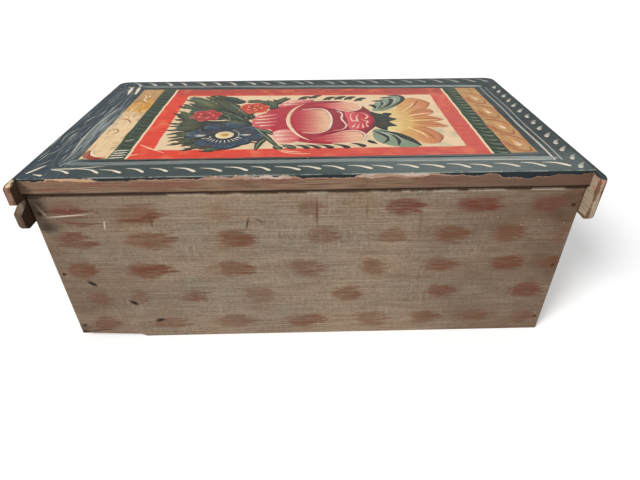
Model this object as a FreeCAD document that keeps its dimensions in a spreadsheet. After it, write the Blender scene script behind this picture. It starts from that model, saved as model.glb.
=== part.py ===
import FreeCAD, Part
import math
import os
import re

import Sketcher
from FreeCAD import Placement, Rotation, Vector

# Painted softwood candle box with a lid that swings on two wooden pins.
# Millimetres. X runs along the box, the front faces -Y, +Z is up.
# The origin is at the middle of the whole object's footprint, on the surface it stands on.
# Left and right are as seen from the front: left is -X.

DRIVING_SIZES = [
    ("box_length", 374, "outside length of the boards, without the lid's battens"),
    ("box_depth", 212, "outside depth, front face to back face"),
    ("wall_height", 134, "top edge of the end and front boards"),
    ("board_thick", 11, "front and back boards"),
    ("end_thick", 9, "end boards"),
    ("bottom_thick", 8, "bottom board"),
    ("lid_thick", 12, "lid board"),
    ("lid_front_lap", 4, "lid in front of the front board"),
    ("lid_rear_lap", 1.5, "lid behind the back board"),
    ("end_gap", 1, "running gap between the box end and a batten"),
    ("batten_thick", 5.5, "battens on the lid's ends"),
    ("batten_height", 34, "battens, from the lid's top down"),
    ("batten_tail", 10, "battens behind the back board"),
    ("tail_round", 4, "lower rear corner of a batten"),
    ("nose_round", 6, "lower front corner of a batten"),
    ("batten_arris", 4.4, "worn upper outer edge of a batten"),
    ("batten_end_arris", 2, "worn edges round a batten's outer face"),
    ("lid_corner_round", 16, "front corners of the lid, seen from above"),
    ("lid_arris", 1.6, "worn long edges of the lid's top"),
    ("board_arris", 0.9, "worn outer edges of the boards"),
    ("pivot_drop", 7, "hinge pin's centre below the lid's underside"),
    ("swing_gap", 0.5, "between the turning lid and the back board's rounded edge"),
    ("pin_diameter", 7, "hinge pin"),
    ("pin_play", 0.08, "all round the pin in its batten"),
    ("pin_depth", 22, "hinge pin in the back board"),
    ("nail_shank", 1.7, "nail, across the shank"),
    ("nail_head", 3, "nail, across the head"),
    ("head_thick", 0.8, "nail head, let in flush"),
    ("nail_length", 28, "nail, head to tip"),
    ("nail_point", 3, "nail, its pointed end"),
    ("nail_play", 0.02, "all round a nail in its hole"),
    ("corner_nail_low", 14, "lowest corner nail above the base"),
    ("corner_nail_high", 15, "highest corner nail below the wall's top edge"),
    ("bottom_nail_inset", 32, "outer bottom nails from the front and back boards"),
    ("batten_nail_inset", 20, "outer batten nails from the lid's edges"),
    ("chip_length", 51, "chip along the back board's lower edge"),
    ("chip_height", 2.3, "chip, at its inner end"),
    ("chip_corner", 5, "chip, at the corner"),
    ("chip_slope", 4, "chip, length of its sloping inner end"),
    ("break_reach", 9, "break in the right batten, in from its rear end"),
    ("break_low", 11.5, "break, lower lip above the batten's lower edge"),
    ("break_high", 14.5, "break, upper lip below the batten's upper edge"),
    ("break_rise", 4, "break, rise of its lower lip towards the pin"),
    ("break_fall", 1, "break, fall of its upper lip towards the pin"),
]

CORNER_NAIL_COUNT = 3
BOTTOM_NAIL_COUNT = 3
BATTEN_NAIL_COUNT = 4

# Planes and lengths that follow from the driving sizes.
DERIVED_SIZES = [
    ("back_plane", "=(box_depth + lid_front_lap - batten_tail) / 2"),
    ("front_plane", "=back_plane - box_depth"),
    ("lid_rear", "=back_plane + lid_rear_lap"),
    ("lid_front", "=front_plane - lid_front_lap"),
    ("tail_plane", "=back_plane + batten_tail"),
    ("lid_length", "=box_length + 2 * end_gap"),
    ("lid_depth", "=lid_rear - lid_front"),
    ("lid_top", "=wall_height + lid_thick"),
    ("inner_depth", "=box_depth - 2 * board_thick"),
    ("batten_depth", "=tail_plane - lid_front"),
    ("batten_foot", "=lid_top - batten_height"),
    ("pivot_height", "=wall_height - pivot_drop"),
    ("pivot_plane", "=back_plane - board_thick / 2"),
    ("swing_radius", "=pivot_drop - swing_gap"),
    ("pin_length", "=pin_depth + end_gap + batten_thick"),
    ("corner_nail_span", "=wall_height - corner_nail_low - corner_nail_high"),
    ("bottom_nail_span", "=inner_depth - 2 * bottom_nail_inset"),
    ("batten_nail_span", "=lid_depth - 2 * batten_nail_inset"),
]

doc = FreeCAD.newDocument("candle_box")
sheet = doc.addObject("Spreadsheet::Sheet", "Sizes")
for row, (name, value, note) in enumerate(DRIVING_SIZES, start=1):
    sheet.set("A%d" % row, note)
    sheet.set("B%d" % row, str(value))
    sheet.setAlias("B%d" % row, name)
for row, (name, formula) in enumerate(DERIVED_SIZES, start=len(DRIVING_SIZES) + 1):
    sheet.set("A%d" % row, name)
    sheet.set("B%d" % row, formula)
    sheet.setAlias("B%d" % row, name)
doc.recompute()


def size(name):
    """The present value of a named size."""
    return float(sheet.get(name))


def bound(text):
    """An expression over the sheet, from one written with bare size names."""
    return re.sub(r"\b([a-z]+_[a-z_]+)\b", r"Sizes.\1", text)


def place(piece, across, along, up, rotation=None):
    """Put a piece in the object's frame at an expression for each of X, Y and Z."""
    if rotation is not None:
        piece.Placement = Placement(Vector(0, 0, 0), rotation)
    for axis, text in zip("xyz", (across, along, up)):
        if text != "0":
            piece.setExpression("Placement.Base." + axis, bound(text))


def origin_feature(body, role):
    """One of the body's own origin planes or axes."""
    return next(item for item in body.Origin.OriginFeatures if item.Role == role)


def new_sketch(body, name, plane):
    """A sketch on one of the body's own origin planes."""
    sketch = body.newObject("Sketcher::SketchObject", name)
    sketch.AttachmentSupport = [(origin_feature(body, plane), "")]
    sketch.MapMode = "FlatFace"
    return sketch


def pin_coordinate(sketch, kind, line, text):
    """Fix the start of a line along one sketch axis at an expression, or on the axis itself."""
    own_axis = -2 if kind == "DistanceX" else -1
    if text == "0":
        sketch.addConstraint(Sketcher.Constraint("PointOnObject", line, 1, own_axis))
        return
    point = sketch.getPoint(line, 1)
    now = point.x if kind == "DistanceX" else point.y
    index = sketch.addConstraint(Sketcher.Constraint(kind, -1, 1, line, 1, now))
    sketch.setExpression("Constraints[%d]" % index, bound(text))


def evaluate(text):
    """The value of an expression written with bare size names."""
    return float(sheet.evalExpression(text)) if text != "0" else 0.0


def closed_outline(sketch, corners):
    """Straight lines round the given corners, each corner at a pair of expressions."""
    points = [Vector(evaluate(first), evaluate(second), 0) for first, second in corners]
    for index, point in enumerate(points):
        following = points[(index + 1) % len(points)]
        sketch.addGeometry(Part.LineSegment(point, following), False)
    for index in range(len(points)):
        following = (index + 1) % len(points)
        sketch.addConstraint(Sketcher.Constraint("Coincident", index, 2, following, 1))
    for index, (first, second) in enumerate(corners):
        pin_coordinate(sketch, "DistanceX", index, first)
        pin_coordinate(sketch, "DistanceY", index, second)


def pad(body, name, sketch, length):
    """A board's thickness or length, grown from its outline."""
    feature = body.newObject("PartDesign::Pad", name)
    feature.Profile = sketch
    feature.setExpression("Length", bound(length))
    sketch.Visibility = False
    return feature


def cut_through(body, name, sketch):
    """A cut right through the body, both ways from its sketch."""
    before = body.Shape.Volume
    feature = body.newObject("PartDesign::Pocket", name)
    feature.Profile = sketch
    feature.Type = "ThroughAll"
    feature.Midplane = True
    sketch.Visibility = False
    doc.recompute()
    if body.Shape.Volume >= before:
        raise RuntimeError(name + " cuts nothing")
    return feature


def round_edges(body, name, radius, thinnest, chosen):
    """Round the edges that a test picks, by no more than the wood there allows."""
    doc.recompute()
    base = body.Tip
    names = ["Edge%d" % number for number, edge in enumerate(base.Shape.Edges, start=1) if chosen(edge)]
    feature = body.newObject("PartDesign::Fillet", name)
    feature.Base = (base, names)
    feature.setExpression("Radius", "min(%s; 0.85 * %s)" % (bound(radius), bound(thinnest)))
    doc.recompute()
    return feature


def along(edge, axis):
    """Whether a straight edge runs along the axis."""
    if not isinstance(edge.Curve, Part.Line):
        return False
    return abs(abs(edge.Curve.Direction.dot(axis)) - 1) < 1e-6


def lies_at(edge, axis, place_on_axis):
    """Whether an edge lies wholly at one place along an axis."""
    return all(abs(vertex.Point.dot(axis) - place_on_axis) < 1e-4 for vertex in edge.Vertexes)


X_AXIS = Vector(1, 0, 0)
Y_AXIS = Vector(0, 1, 0)
Z_AXIS = Vector(0, 0, 1)


def plain_board(name, length, depth, height):
    """A squared board with one corner at its own origin."""
    body = doc.addObject("PartDesign::Body", name)
    sketch = new_sketch(body, name + "_outline", "XY_Plane")
    closed_outline(sketch, [("0", "0"), (length, "0"), (length, depth), ("0", depth)])
    pad(body, name + "_pad", sketch, height)
    return body


def nail_row(name, count, span, play="0"):
    """Nails driven along the row's own +Z from z = 0, side by side along its own +X.

    With some play all round, the same row is the set of holes for such nails.
    """
    body = doc.addObject("PartDesign::Body", name)
    sketch = new_sketch(body, name + "_profile", "XZ_Plane")
    shank = "nail_shank / 2 + " + play
    head = "nail_head / 2 + " + play
    closed_outline(sketch, [
        ("0", "0"), (head, "0"), (head, "head_thick"), (shank, "head_thick"),
        (shank, "nail_length - nail_point"), ("0", "nail_length + " + play),
    ])
    turned = body.newObject("PartDesign::Revolution", name + "_turned")
    turned.Profile = sketch
    turned.ReferenceAxis = (sketch, ["V_Axis"])
    turned.Angle = 360
    sketch.Visibility = False
    doc.recompute()
    row = body.newObject("PartDesign::LinearPattern", name + "_row")
    row.Originals = [turned]
    row.Direction = (origin_feature(body, "X_Axis"), [""])
    row.setExpression("Length", bound(span))
    row.Occurrences = count
    body.Tip = row
    doc.recompute()
    return body


def nails_and_holes(name, count, span, across, along_y, up, rotation):
    """A row of nails as a sub-part, and the matching holes as a cutting tool."""
    nails = nail_row(name, count, span)
    holes = nail_row(name + "_holes", count, span, "nail_play")
    for row in (nails, holes):
        place(row, across, along_y, up, rotation)
    nails.Label = name
    return nails, holes


def bored(label, blank, tools):
    """A board with its nail and pin holes, as a sub-part."""
    cutter = tools[0]
    if len(tools) > 1:
        cutter = doc.addObject("Part::MultiFuse", label + "_tools")
        cutter.Shapes = tools
    piece = doc.addObject("Part::Cut", label + "_piece")
    piece.Base = blank
    piece.Tool = cutter
    piece.Label = label
    return piece


def row_rotation(row_direction, drive_direction):
    """The turn that lays a nail row along one direction, driven along another."""
    return Rotation(row_direction, drive_direction.cross(row_direction), drive_direction, "ZXY")


END_MIDDLE = "(box_length - end_thick) / 2"
BATTEN_FACE = "(lid_length / 2 + batten_thick)"
SIDES = (("left", "-"), ("right", ""))
INWARD = {"left": X_AXIS, "right": -X_AXIS}

# Corner nails: through the back or front board into the end boards' edges.
corner_rows = {}
for face, plane, drive in (("back", "back_plane", -Y_AXIS), ("front", "front_plane", Y_AXIS)):
    for side, sign in SIDES:
        corner_rows[face, side] = nails_and_holes(
            "%s_%s_nails" % (face, side), CORNER_NAIL_COUNT, "corner_nail_span",
            sign + END_MIDDLE, plane, "corner_nail_low", row_rotation(Z_AXIS, drive))

# Bottom nails: up through the bottom board into the end boards' lower edges.
bottom_rows = {}
for side, sign in SIDES:
    bottom_rows[side] = nails_and_holes(
        "bottom_%s_nails" % side, BOTTOM_NAIL_COUNT, "bottom_nail_span",
        sign + END_MIDDLE, "front_plane + board_thick + bottom_nail_inset", "0",
        row_rotation(Y_AXIS, Z_AXIS))

# Batten nails: through a batten into the lid board's end grain.
batten_rows = {}
for side, sign in SIDES:
    batten_rows[side] = nails_and_holes(
        "%s_batten_nails" % side, BATTEN_NAIL_COUNT, "batten_nail_span",
        sign + BATTEN_FACE, "lid_front + batten_nail_inset", "wall_height + lid_thick / 2",
        row_rotation(Y_AXIS, INWARD[side]))

# Hinge pins: pegs driven into the back board's end grain, their outer ends flush with the battens.
pins = {}
pin_holes = {}
pin_bores = {}
for side, sign in SIDES:
    turn = Rotation(Z_AXIS, INWARD[side])
    for store, suffix, play in ((pins, "hinge_pin", "0"), (pin_holes, "pin_seat", "nail_play"),
                                (pin_bores, "pin_bore", "pin_play")):
        peg = doc.addObject("Part::Cylinder", "%s_%s" % (side, suffix))
        peg.setExpression("Radius", bound("pin_diameter / 2 + " + play))
        peg.setExpression("Height", bound("pin_length"))
        place(peg, sign + BATTEN_FACE, "pivot_plane", "pivot_height", turn)
        store[side] = peg

# Back board: its profile across the grain, with the edge under the lid rounded about the pins.
back = doc.addObject("PartDesign::Body", "back_board_blank")
profile = new_sketch(back, "back_board_profile", "YZ_Plane")
thick = size("board_thick")
middle = thick / 2
radius = size("swing_radius")
pivot = size("pivot_height")
arc_foot = math.acos(middle / radius)
top = pivot + radius
shoulder = pivot + radius * math.sin(arc_foot)
corners = [Vector(0, 0, 0), Vector(thick, 0, 0), Vector(thick, shoulder, 0),
           Vector(middle, top, 0), Vector(0, top, 0)]
for start, end in ((0, 1), (1, 2)):
    profile.addGeometry(Part.LineSegment(corners[start], corners[end]), False)
swing = Part.Circle(Vector(middle, pivot, 0), Z_AXIS, radius)
profile.addGeometry(Part.ArcOfCircle(swing, arc_foot, math.pi / 2), False)
for start, end in ((3, 4), (4, 0)):
    profile.addGeometry(Part.LineSegment(corners[start], corners[end]), False)
BASE_LINE, REAR_LINE, SWING_ARC, TOP_LINE, INNER_LINE = range(5)
START, END, CENTRE = 1, 2, 3
profile.addConstraint([
    Sketcher.Constraint("Coincident", BASE_LINE, END, REAR_LINE, START),
    Sketcher.Constraint("Coincident", REAR_LINE, END, SWING_ARC, START),
    Sketcher.Constraint("Coincident", SWING_ARC, END, TOP_LINE, START),
    Sketcher.Constraint("Coincident", TOP_LINE, END, INNER_LINE, START),
    Sketcher.Constraint("Coincident", INNER_LINE, END, BASE_LINE, START),
    Sketcher.Constraint("Coincident", BASE_LINE, START, -1, 1),
    Sketcher.Constraint("Horizontal", BASE_LINE),
    Sketcher.Constraint("Vertical", REAR_LINE),
    Sketcher.Constraint("Horizontal", TOP_LINE),
    Sketcher.Constraint("Vertical", INNER_LINE),
])
for kind, first, second, text in (
        ("DistanceX", (BASE_LINE, START), (BASE_LINE, END), "board_thick"),
        ("DistanceX", (BASE_LINE, START), (SWING_ARC, CENTRE), "board_thick / 2"),
        ("DistanceY", (BASE_LINE, START), (SWING_ARC, CENTRE), "pivot_height"),
        ("DistanceX", (BASE_LINE, START), (TOP_LINE, START), "board_thick / 2")):
    index = profile.addConstraint(Sketcher.Constraint(kind, *first, *second, evaluate(text)))
    profile.setExpression("Constraints[%d]" % index, bound(text))
index = profile.addConstraint(Sketcher.Constraint("Radius", SWING_ARC, radius))
profile.setExpression("Constraints[%d]" % index, bound("swing_radius"))
pad(back, "back_board_pad", profile, "box_length")
doc.recompute()

chip = new_sketch(back, "back_board_chip", "XZ_Plane")
closed_outline(chip, [
    ("box_length - chip_length", "0"),
    ("box_length - chip_length + chip_slope", "chip_height"),
    ("box_length", "chip_corner"),
    ("box_length", "0"),
])
cut_through(back, "back_board_chipped", chip)
round_edges(back, "back_board_worn", "board_arris", "board_thick",
            lambda edge: lies_at(edge, Y_AXIS, thick)
            and (along(edge, Z_AXIS) or edge.BoundBox.ZMax < size("chip_corner") + 1e-4))
place(back, "-box_length / 2", "back_plane - board_thick", "0")

# Front board.
front = plain_board("front_board_blank", "box_length", "board_thick", "wall_height")
round_edges(front, "front_board_worn", "board_arris", "board_thick",
            lambda edge: lies_at(edge, Y_AXIS, 0))
place(front, "-box_length / 2", "front_plane", "0")

# End boards stand on the bottom board, between the front and back boards.
ends = {}
for side, corner in (("left", "-box_length / 2"), ("right", "box_length / 2 - end_thick")):
    board = plain_board(side + "_end_board_blank", "end_thick", "inner_depth", "wall_height - bottom_thick")
    place(board, corner, "front_plane + board_thick", "bottom_thick")
    ends[side] = board

# The bottom board runs under the end boards, between the front and back boards.
bottom = plain_board("bottom_board_blank", "box_length", "inner_depth", "bottom_thick")
place(bottom, "-box_length / 2", "front_plane + board_thick", "0")

# Lid board.
lid = plain_board("lid_board_blank", "lid_length", "lid_depth", "lid_thick")
round_edges(lid, "lid_board_worn", "lid_arris", "lid_thick",
            lambda edge: along(edge, X_AXIS) and lies_at(edge, Z_AXIS, size("lid_thick")))
place(lid, "-lid_length / 2", "lid_front", "wall_height")

# Battens: a strip on each end of the lid, with a rounded tail behind the box.
battens = {}
for side, corner in (("left", "-" + BATTEN_FACE), ("right", "lid_length / 2")):
    batten = doc.addObject("PartDesign::Body", side + "_batten_blank")
    outline = new_sketch(batten, side + "_batten_outline", "YZ_Plane")
    closed_outline(outline, [("0", "0"), ("batten_depth", "0"), ("batten_depth", "batten_height"),
                             ("0", "batten_height")])
    pad(batten, side + "_batten_pad", outline, "batten_thick")
    round_edges(batten, side + "_batten_tail", "tail_round", "batten_height",
                lambda edge: along(edge, X_AXIS) and lies_at(edge, Z_AXIS, 0)
                and lies_at(edge, Y_AXIS, size("batten_depth")))
    round_edges(batten, side + "_batten_nose", "nose_round", "batten_height",
                lambda edge: along(edge, X_AXIS) and lies_at(edge, Z_AXIS, 0)
                and lies_at(edge, Y_AXIS, 0))
    outer = 0 if side == "left" else size("batten_thick")
    round_edges(batten, side + "_batten_end_worn", "batten_end_arris", "batten_thick",
                lambda edge: lies_at(edge, X_AXIS, outer)
                and not lies_at(edge, Z_AXIS, size("batten_height")))
    round_edges(batten, side + "_batten_worn", "batten_arris", "batten_thick",
                lambda edge: along(edge, Y_AXIS) and lies_at(edge, X_AXIS, outer)
                and lies_at(edge, Z_AXIS, size("batten_height")))
    if side == "right":
        gap = new_sketch(batten, "right_batten_break", "YZ_Plane")
        closed_outline(gap, [
            ("batten_depth - break_reach", "break_low + break_rise"),
            ("batten_depth", "break_low"),
            ("batten_depth + break_reach", "break_low"),
            ("batten_depth + break_reach", "batten_height - break_high"),
            ("batten_depth", "batten_height - break_high"),
            ("batten_depth - break_reach", "batten_height - break_high - break_fall"),
        ])
        cut_through(batten, "right_batten_broken", gap)
    place(batten, corner, "lid_front", "batten_foot")
    battens[side] = batten

# Tools that round the lid's front corners, through board and batten together.
corner_tools = {}
for side, corner, centre in (
        ("left", "-" + BATTEN_FACE + " - 1", "lid_corner_round - " + BATTEN_FACE),
        ("right", BATTEN_FACE + " - lid_corner_round", BATTEN_FACE + " - lid_corner_round")):
    block = doc.addObject("Part::Box", side + "_corner_block")
    for edge, text in (("Length", "lid_corner_round + 1"), ("Width", "lid_corner_round + 1"),
                       ("Height", "batten_height + 2")):
        block.setExpression(edge, bound(text))
    place(block, corner, "lid_front - 1", "batten_foot - 1")
    post = doc.addObject("Part::Cylinder", side + "_corner_post")
    post.setExpression("Radius", bound("lid_corner_round"))
    post.setExpression("Height", bound("batten_height + 2"))
    place(post, centre, "lid_front + lid_corner_round", "batten_foot - 1")
    tool = doc.addObject("Part::Cut", side + "_corner_tool")
    tool.Base = block
    tool.Tool = post
    corner_tools[side] = tool

# The finished pieces, each board with the holes that its nails and pins go through.
pieces = [
    bored("back_board", back, [corner_rows["back", "left"][1], corner_rows["back", "right"][1],
                               pin_holes["left"], pin_holes["right"]]),
    bored("front_board", front, [corner_rows["front", "left"][1], corner_rows["front", "right"][1]]),
    bored("bottom_board", bottom, [bottom_rows["left"][1], bottom_rows["right"][1]]),
    bored("lid_board", lid, [batten_rows["left"][1], batten_rows["right"][1],
                             corner_tools["left"], corner_tools["right"]]),
]
for side in ("left", "right"):
    pieces.append(bored(side + "_end_board", ends[side],
                        [corner_rows["back", side][1], corner_rows["front", side][1], bottom_rows[side][1]]))
    pieces.append(bored(side + "_lid_batten", battens[side],
                        [batten_rows[side][1], pin_bores[side], corner_tools[side]]))
    pins[side].Label = side + "_hinge_pin"
    pieces.append(pins[side])
    pieces.append(corner_rows["back", side][0])
    pieces.append(corner_rows["front", side][0])
    pieces.append(bottom_rows[side][0])
    pieces.append(batten_rows[side][0])

doc.recompute()

for item in doc.Objects:
    if "Invalid" in item.State or "Error" in item.State:
        raise RuntimeError("%s did not compute: %s" % (item.Name, item.State))
for piece in pieces:
    if piece.Shape.isNull() or not piece.Shape.isValid() or not piece.Shape.Solids:
        raise RuntimeError("%s has no sound solid" % piece.Label)

os.makedirs("parts", exist_ok=True)
for piece in pieces:
    piece.Shape.exportStep("parts/%s.step" % piece.Label)
    box = piece.Shape.BoundBox
    print("%-20s %2d solids  %9.1f mm3  x %7.2f..%7.2f  y %7.2f..%7.2f  z %6.2f..%6.2f" % (
        piece.Label, len(piece.Shape.Solids), piece.Shape.Volume,
        box.XMin, box.XMax, box.YMin, box.YMax, box.ZMin, box.ZMax))

# How far the lid opens: its lower rear edge turns about the pins until it meets the back board.
reach = size("lid_rear") - size("pivot_plane")
edge_radius = math.hypot(reach, size("pivot_drop"))
stop = math.atan2(size("pivot_drop"), reach) + math.acos(middle / edge_radius)
print("lid opens by %.2f degrees, pivot at y %.3f z %.3f" % (
    math.degrees(stop), size("pivot_plane"), size("pivot_height")))
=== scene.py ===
import logging
import math
import random
from dataclasses import dataclass
from enum import Enum
from functools import partial
from typing import Any, Sequence

import bpy
from mathutils import Matrix, Vector


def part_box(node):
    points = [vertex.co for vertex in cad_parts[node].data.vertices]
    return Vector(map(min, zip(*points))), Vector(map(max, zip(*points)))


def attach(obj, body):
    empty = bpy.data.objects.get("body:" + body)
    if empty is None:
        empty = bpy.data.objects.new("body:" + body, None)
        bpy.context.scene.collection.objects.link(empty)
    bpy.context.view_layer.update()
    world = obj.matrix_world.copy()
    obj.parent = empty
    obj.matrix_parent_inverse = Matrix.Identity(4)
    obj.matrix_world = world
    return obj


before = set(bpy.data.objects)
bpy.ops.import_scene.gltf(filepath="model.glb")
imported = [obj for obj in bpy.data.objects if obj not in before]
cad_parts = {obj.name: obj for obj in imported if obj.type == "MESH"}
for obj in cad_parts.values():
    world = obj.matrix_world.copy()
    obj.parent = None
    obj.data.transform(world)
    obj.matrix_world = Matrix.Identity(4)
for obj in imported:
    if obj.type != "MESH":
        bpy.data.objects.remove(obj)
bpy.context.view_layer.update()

# Painted softwood candle box, looks only. Metres in Blender, millimetres where a name or a
# comment says so. The front faces -Y, the photograph looks at the back, +Y, and left is -X.

log = logging.getLogger("candle_box")

MM = 0.001
LID_TOP = 146.0
LID_UNDER = 134.0
WALL_TOP = 133.5
SMOOTH = {"interpolation_type": "SMOOTHSTEP"}
COLOUR = {"data_type": "RGBA"}
MULTIPLY = {"operation": "MULTIPLY"}
MULTIPLY_ADD = {"operation": "MULTIPLY_ADD"}
SUBTRACT = {"operation": "SUBTRACT"}
ABSOLUTE = {"operation": "ABSOLUTE"}
LENGTH = {"operation": "LENGTH"}
MINIMUM = {"operation": "MINIMUM"}
MAXIMUM = {"operation": "MAXIMUM"}

Point = tuple[float, float]
Triple = tuple[float, float, float]
Rgba = tuple[float, float, float, float]
Path = Sequence[Point]


def linear(hex_colour: str) -> Rgba:
    """Turn an sRGB colour such as "#8c7968" into Blender's linear one, with an alpha of 1.

    Args:
        hex_colour: the sRGB colour.

    Returns:
        Linear red, green and blue, and the alpha.
    """
    parts = [int(hex_colour[i:i + 2], 16) / 255 for i in (1, 3, 5)]
    red, green, blue = (
        part / 12.92 if part <= 0.04045 else ((part + 0.055) / 1.055) ** 2.4 for part in parts
    )
    return red, green, blue, 1.0


def mixed(first: Rgba, second: Rgba, share: float) -> Rgba:
    """A colour the given share of the way from the first to the second, as the eye judges it.

    Args:
        first: the colour at 0.
        second: the colour at 1.
        share: from 0 to 1.

    Returns:
        The colour between.
    """
    red, green, blue, alpha = (
        (math.sqrt(a) + (math.sqrt(b) - math.sqrt(a)) * share) ** 2 for a, b in zip(first, second)
    )
    return red, green, blue, alpha


class Pigment(Enum):
    """The colours on the painter's board, as they look now."""

    CREAM = "#f3e6cf"
    BONE = "#ded5c4"
    WARM_WHITE = "#f6dcc0"
    PALE_SLATE = "#8f9a98"
    SLATE = "#6d7877"
    SMOKE = "#a8a89e"
    BLUE_BLACK = "#2b3336"
    INK = "#171e20"
    NAVY = "#192532"
    PETAL_BLUE = "#334b61"
    LIGHT_BLUE = "#64798a"
    VERMILION = "#e04a30"
    BRICK = "#a83427"
    CRIMSON = "#b82a3c"
    DEEP_CRIMSON = "#8a2136"
    ROSE_PINK = "#dc6266"
    PALE_PINK = "#efae9f"
    PEACH = "#f4c79e"
    LEAF_DARK = "#1c2b22"
    LEAF_MID = "#3b513c"
    LEAF_PALE = "#646f4e"
    SAGE = "#86977f"
    OCHRE = "#c98f4a"
    GOLD = "#dfb06a"
    AMBER = "#d9942f"
    ORANGE = "#d1825c"
    UMBER = "#95582f"
    YELLOW = "#f3da99"


class Axis(Enum):
    """The way a board's grain runs."""

    X = 0
    Y = 1
    Z = 2

    def stretched(self, across: float, along: float) -> list[float]:
        """Feature sizes with one length across the grain and another along it."""
        return [along if index == self.value else across for index in range(3)]


class Side(Enum):
    """An outside face of the box, by the way it looks."""

    BACK = (0.0, 1.0, 0.0)
    FRONT = (0.0, -1.0, 0.0)
    LEFT = (-1.0, 0.0, 0.0)
    RIGHT = (1.0, 0.0, 0.0)


class Form(Enum):
    """How the width of a brush stroke changes along its path."""

    COMMA = "thin tail, round head at the end"
    LEAF = "pointed at both ends"
    LINE = "even"


class Nodes:
    """The shader nodes of a material or of the world, emptied to start with."""

    def __init__(self, owner: Any) -> None:
        self.owner = owner
        owner.use_nodes = True
        self.tree = owner.node_tree
        self.tree.nodes.clear()

    def add(
        self,
        kind: str,
        inputs: Sequence[Any] | dict[int | str, Any] = (),
        stops: Sequence[tuple[float, float | Triple]] = (),
        **settings: Any,
    ) -> bpy.types.Node:
        """Add a node with its settings and links.

        Args:
            kind: the node's type, without "ShaderNode".
            inputs: in order, or by number or name: a constant, a socket, or a node, whose first
                output is used.
            stops: positions of a colour ramp, each with a grey or with red, green and blue.
            settings: the node's own properties.

        Returns:
            The node.
        """
        node = self.tree.nodes.new("ShaderNode" + kind)
        for name, value in settings.items():
            setattr(node, name, value)
        if stops:
            elements = node.color_ramp.elements
            while len(elements) < len(stops):
                elements.new(len(elements) / len(stops))
            for element, (position, value) in zip(elements, stops):
                element.position = position
                element.color = (*(value if isinstance(value, tuple) else (value, value, value)), 1.0)
        for key, value in inputs.items() if isinstance(inputs, dict) else enumerate(inputs):
            named = (item for item in node.inputs if item.name == key and item.enabled)
            socket = node.inputs[key] if isinstance(key, int) else next(named)
            if isinstance(value, bpy.types.Node):
                value = next(item for item in value.outputs if item.enabled)
            if isinstance(value, bpy.types.NodeSocket):
                self.tree.links.new(value, socket)
            else:
                socket.default_value = value
        return node


@dataclass(frozen=True)
class Coat:
    """Paint, grime or wear laid over what is there, where a field lies past one level and to another.

    Without levels the field is the mask itself. Within is a second mask or a strength.
    """

    tint: Any
    field: Any
    low: float | None = None
    high: float = 1.0
    most: float = 1.0
    within: Any = None
    soft: bool = True


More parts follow.
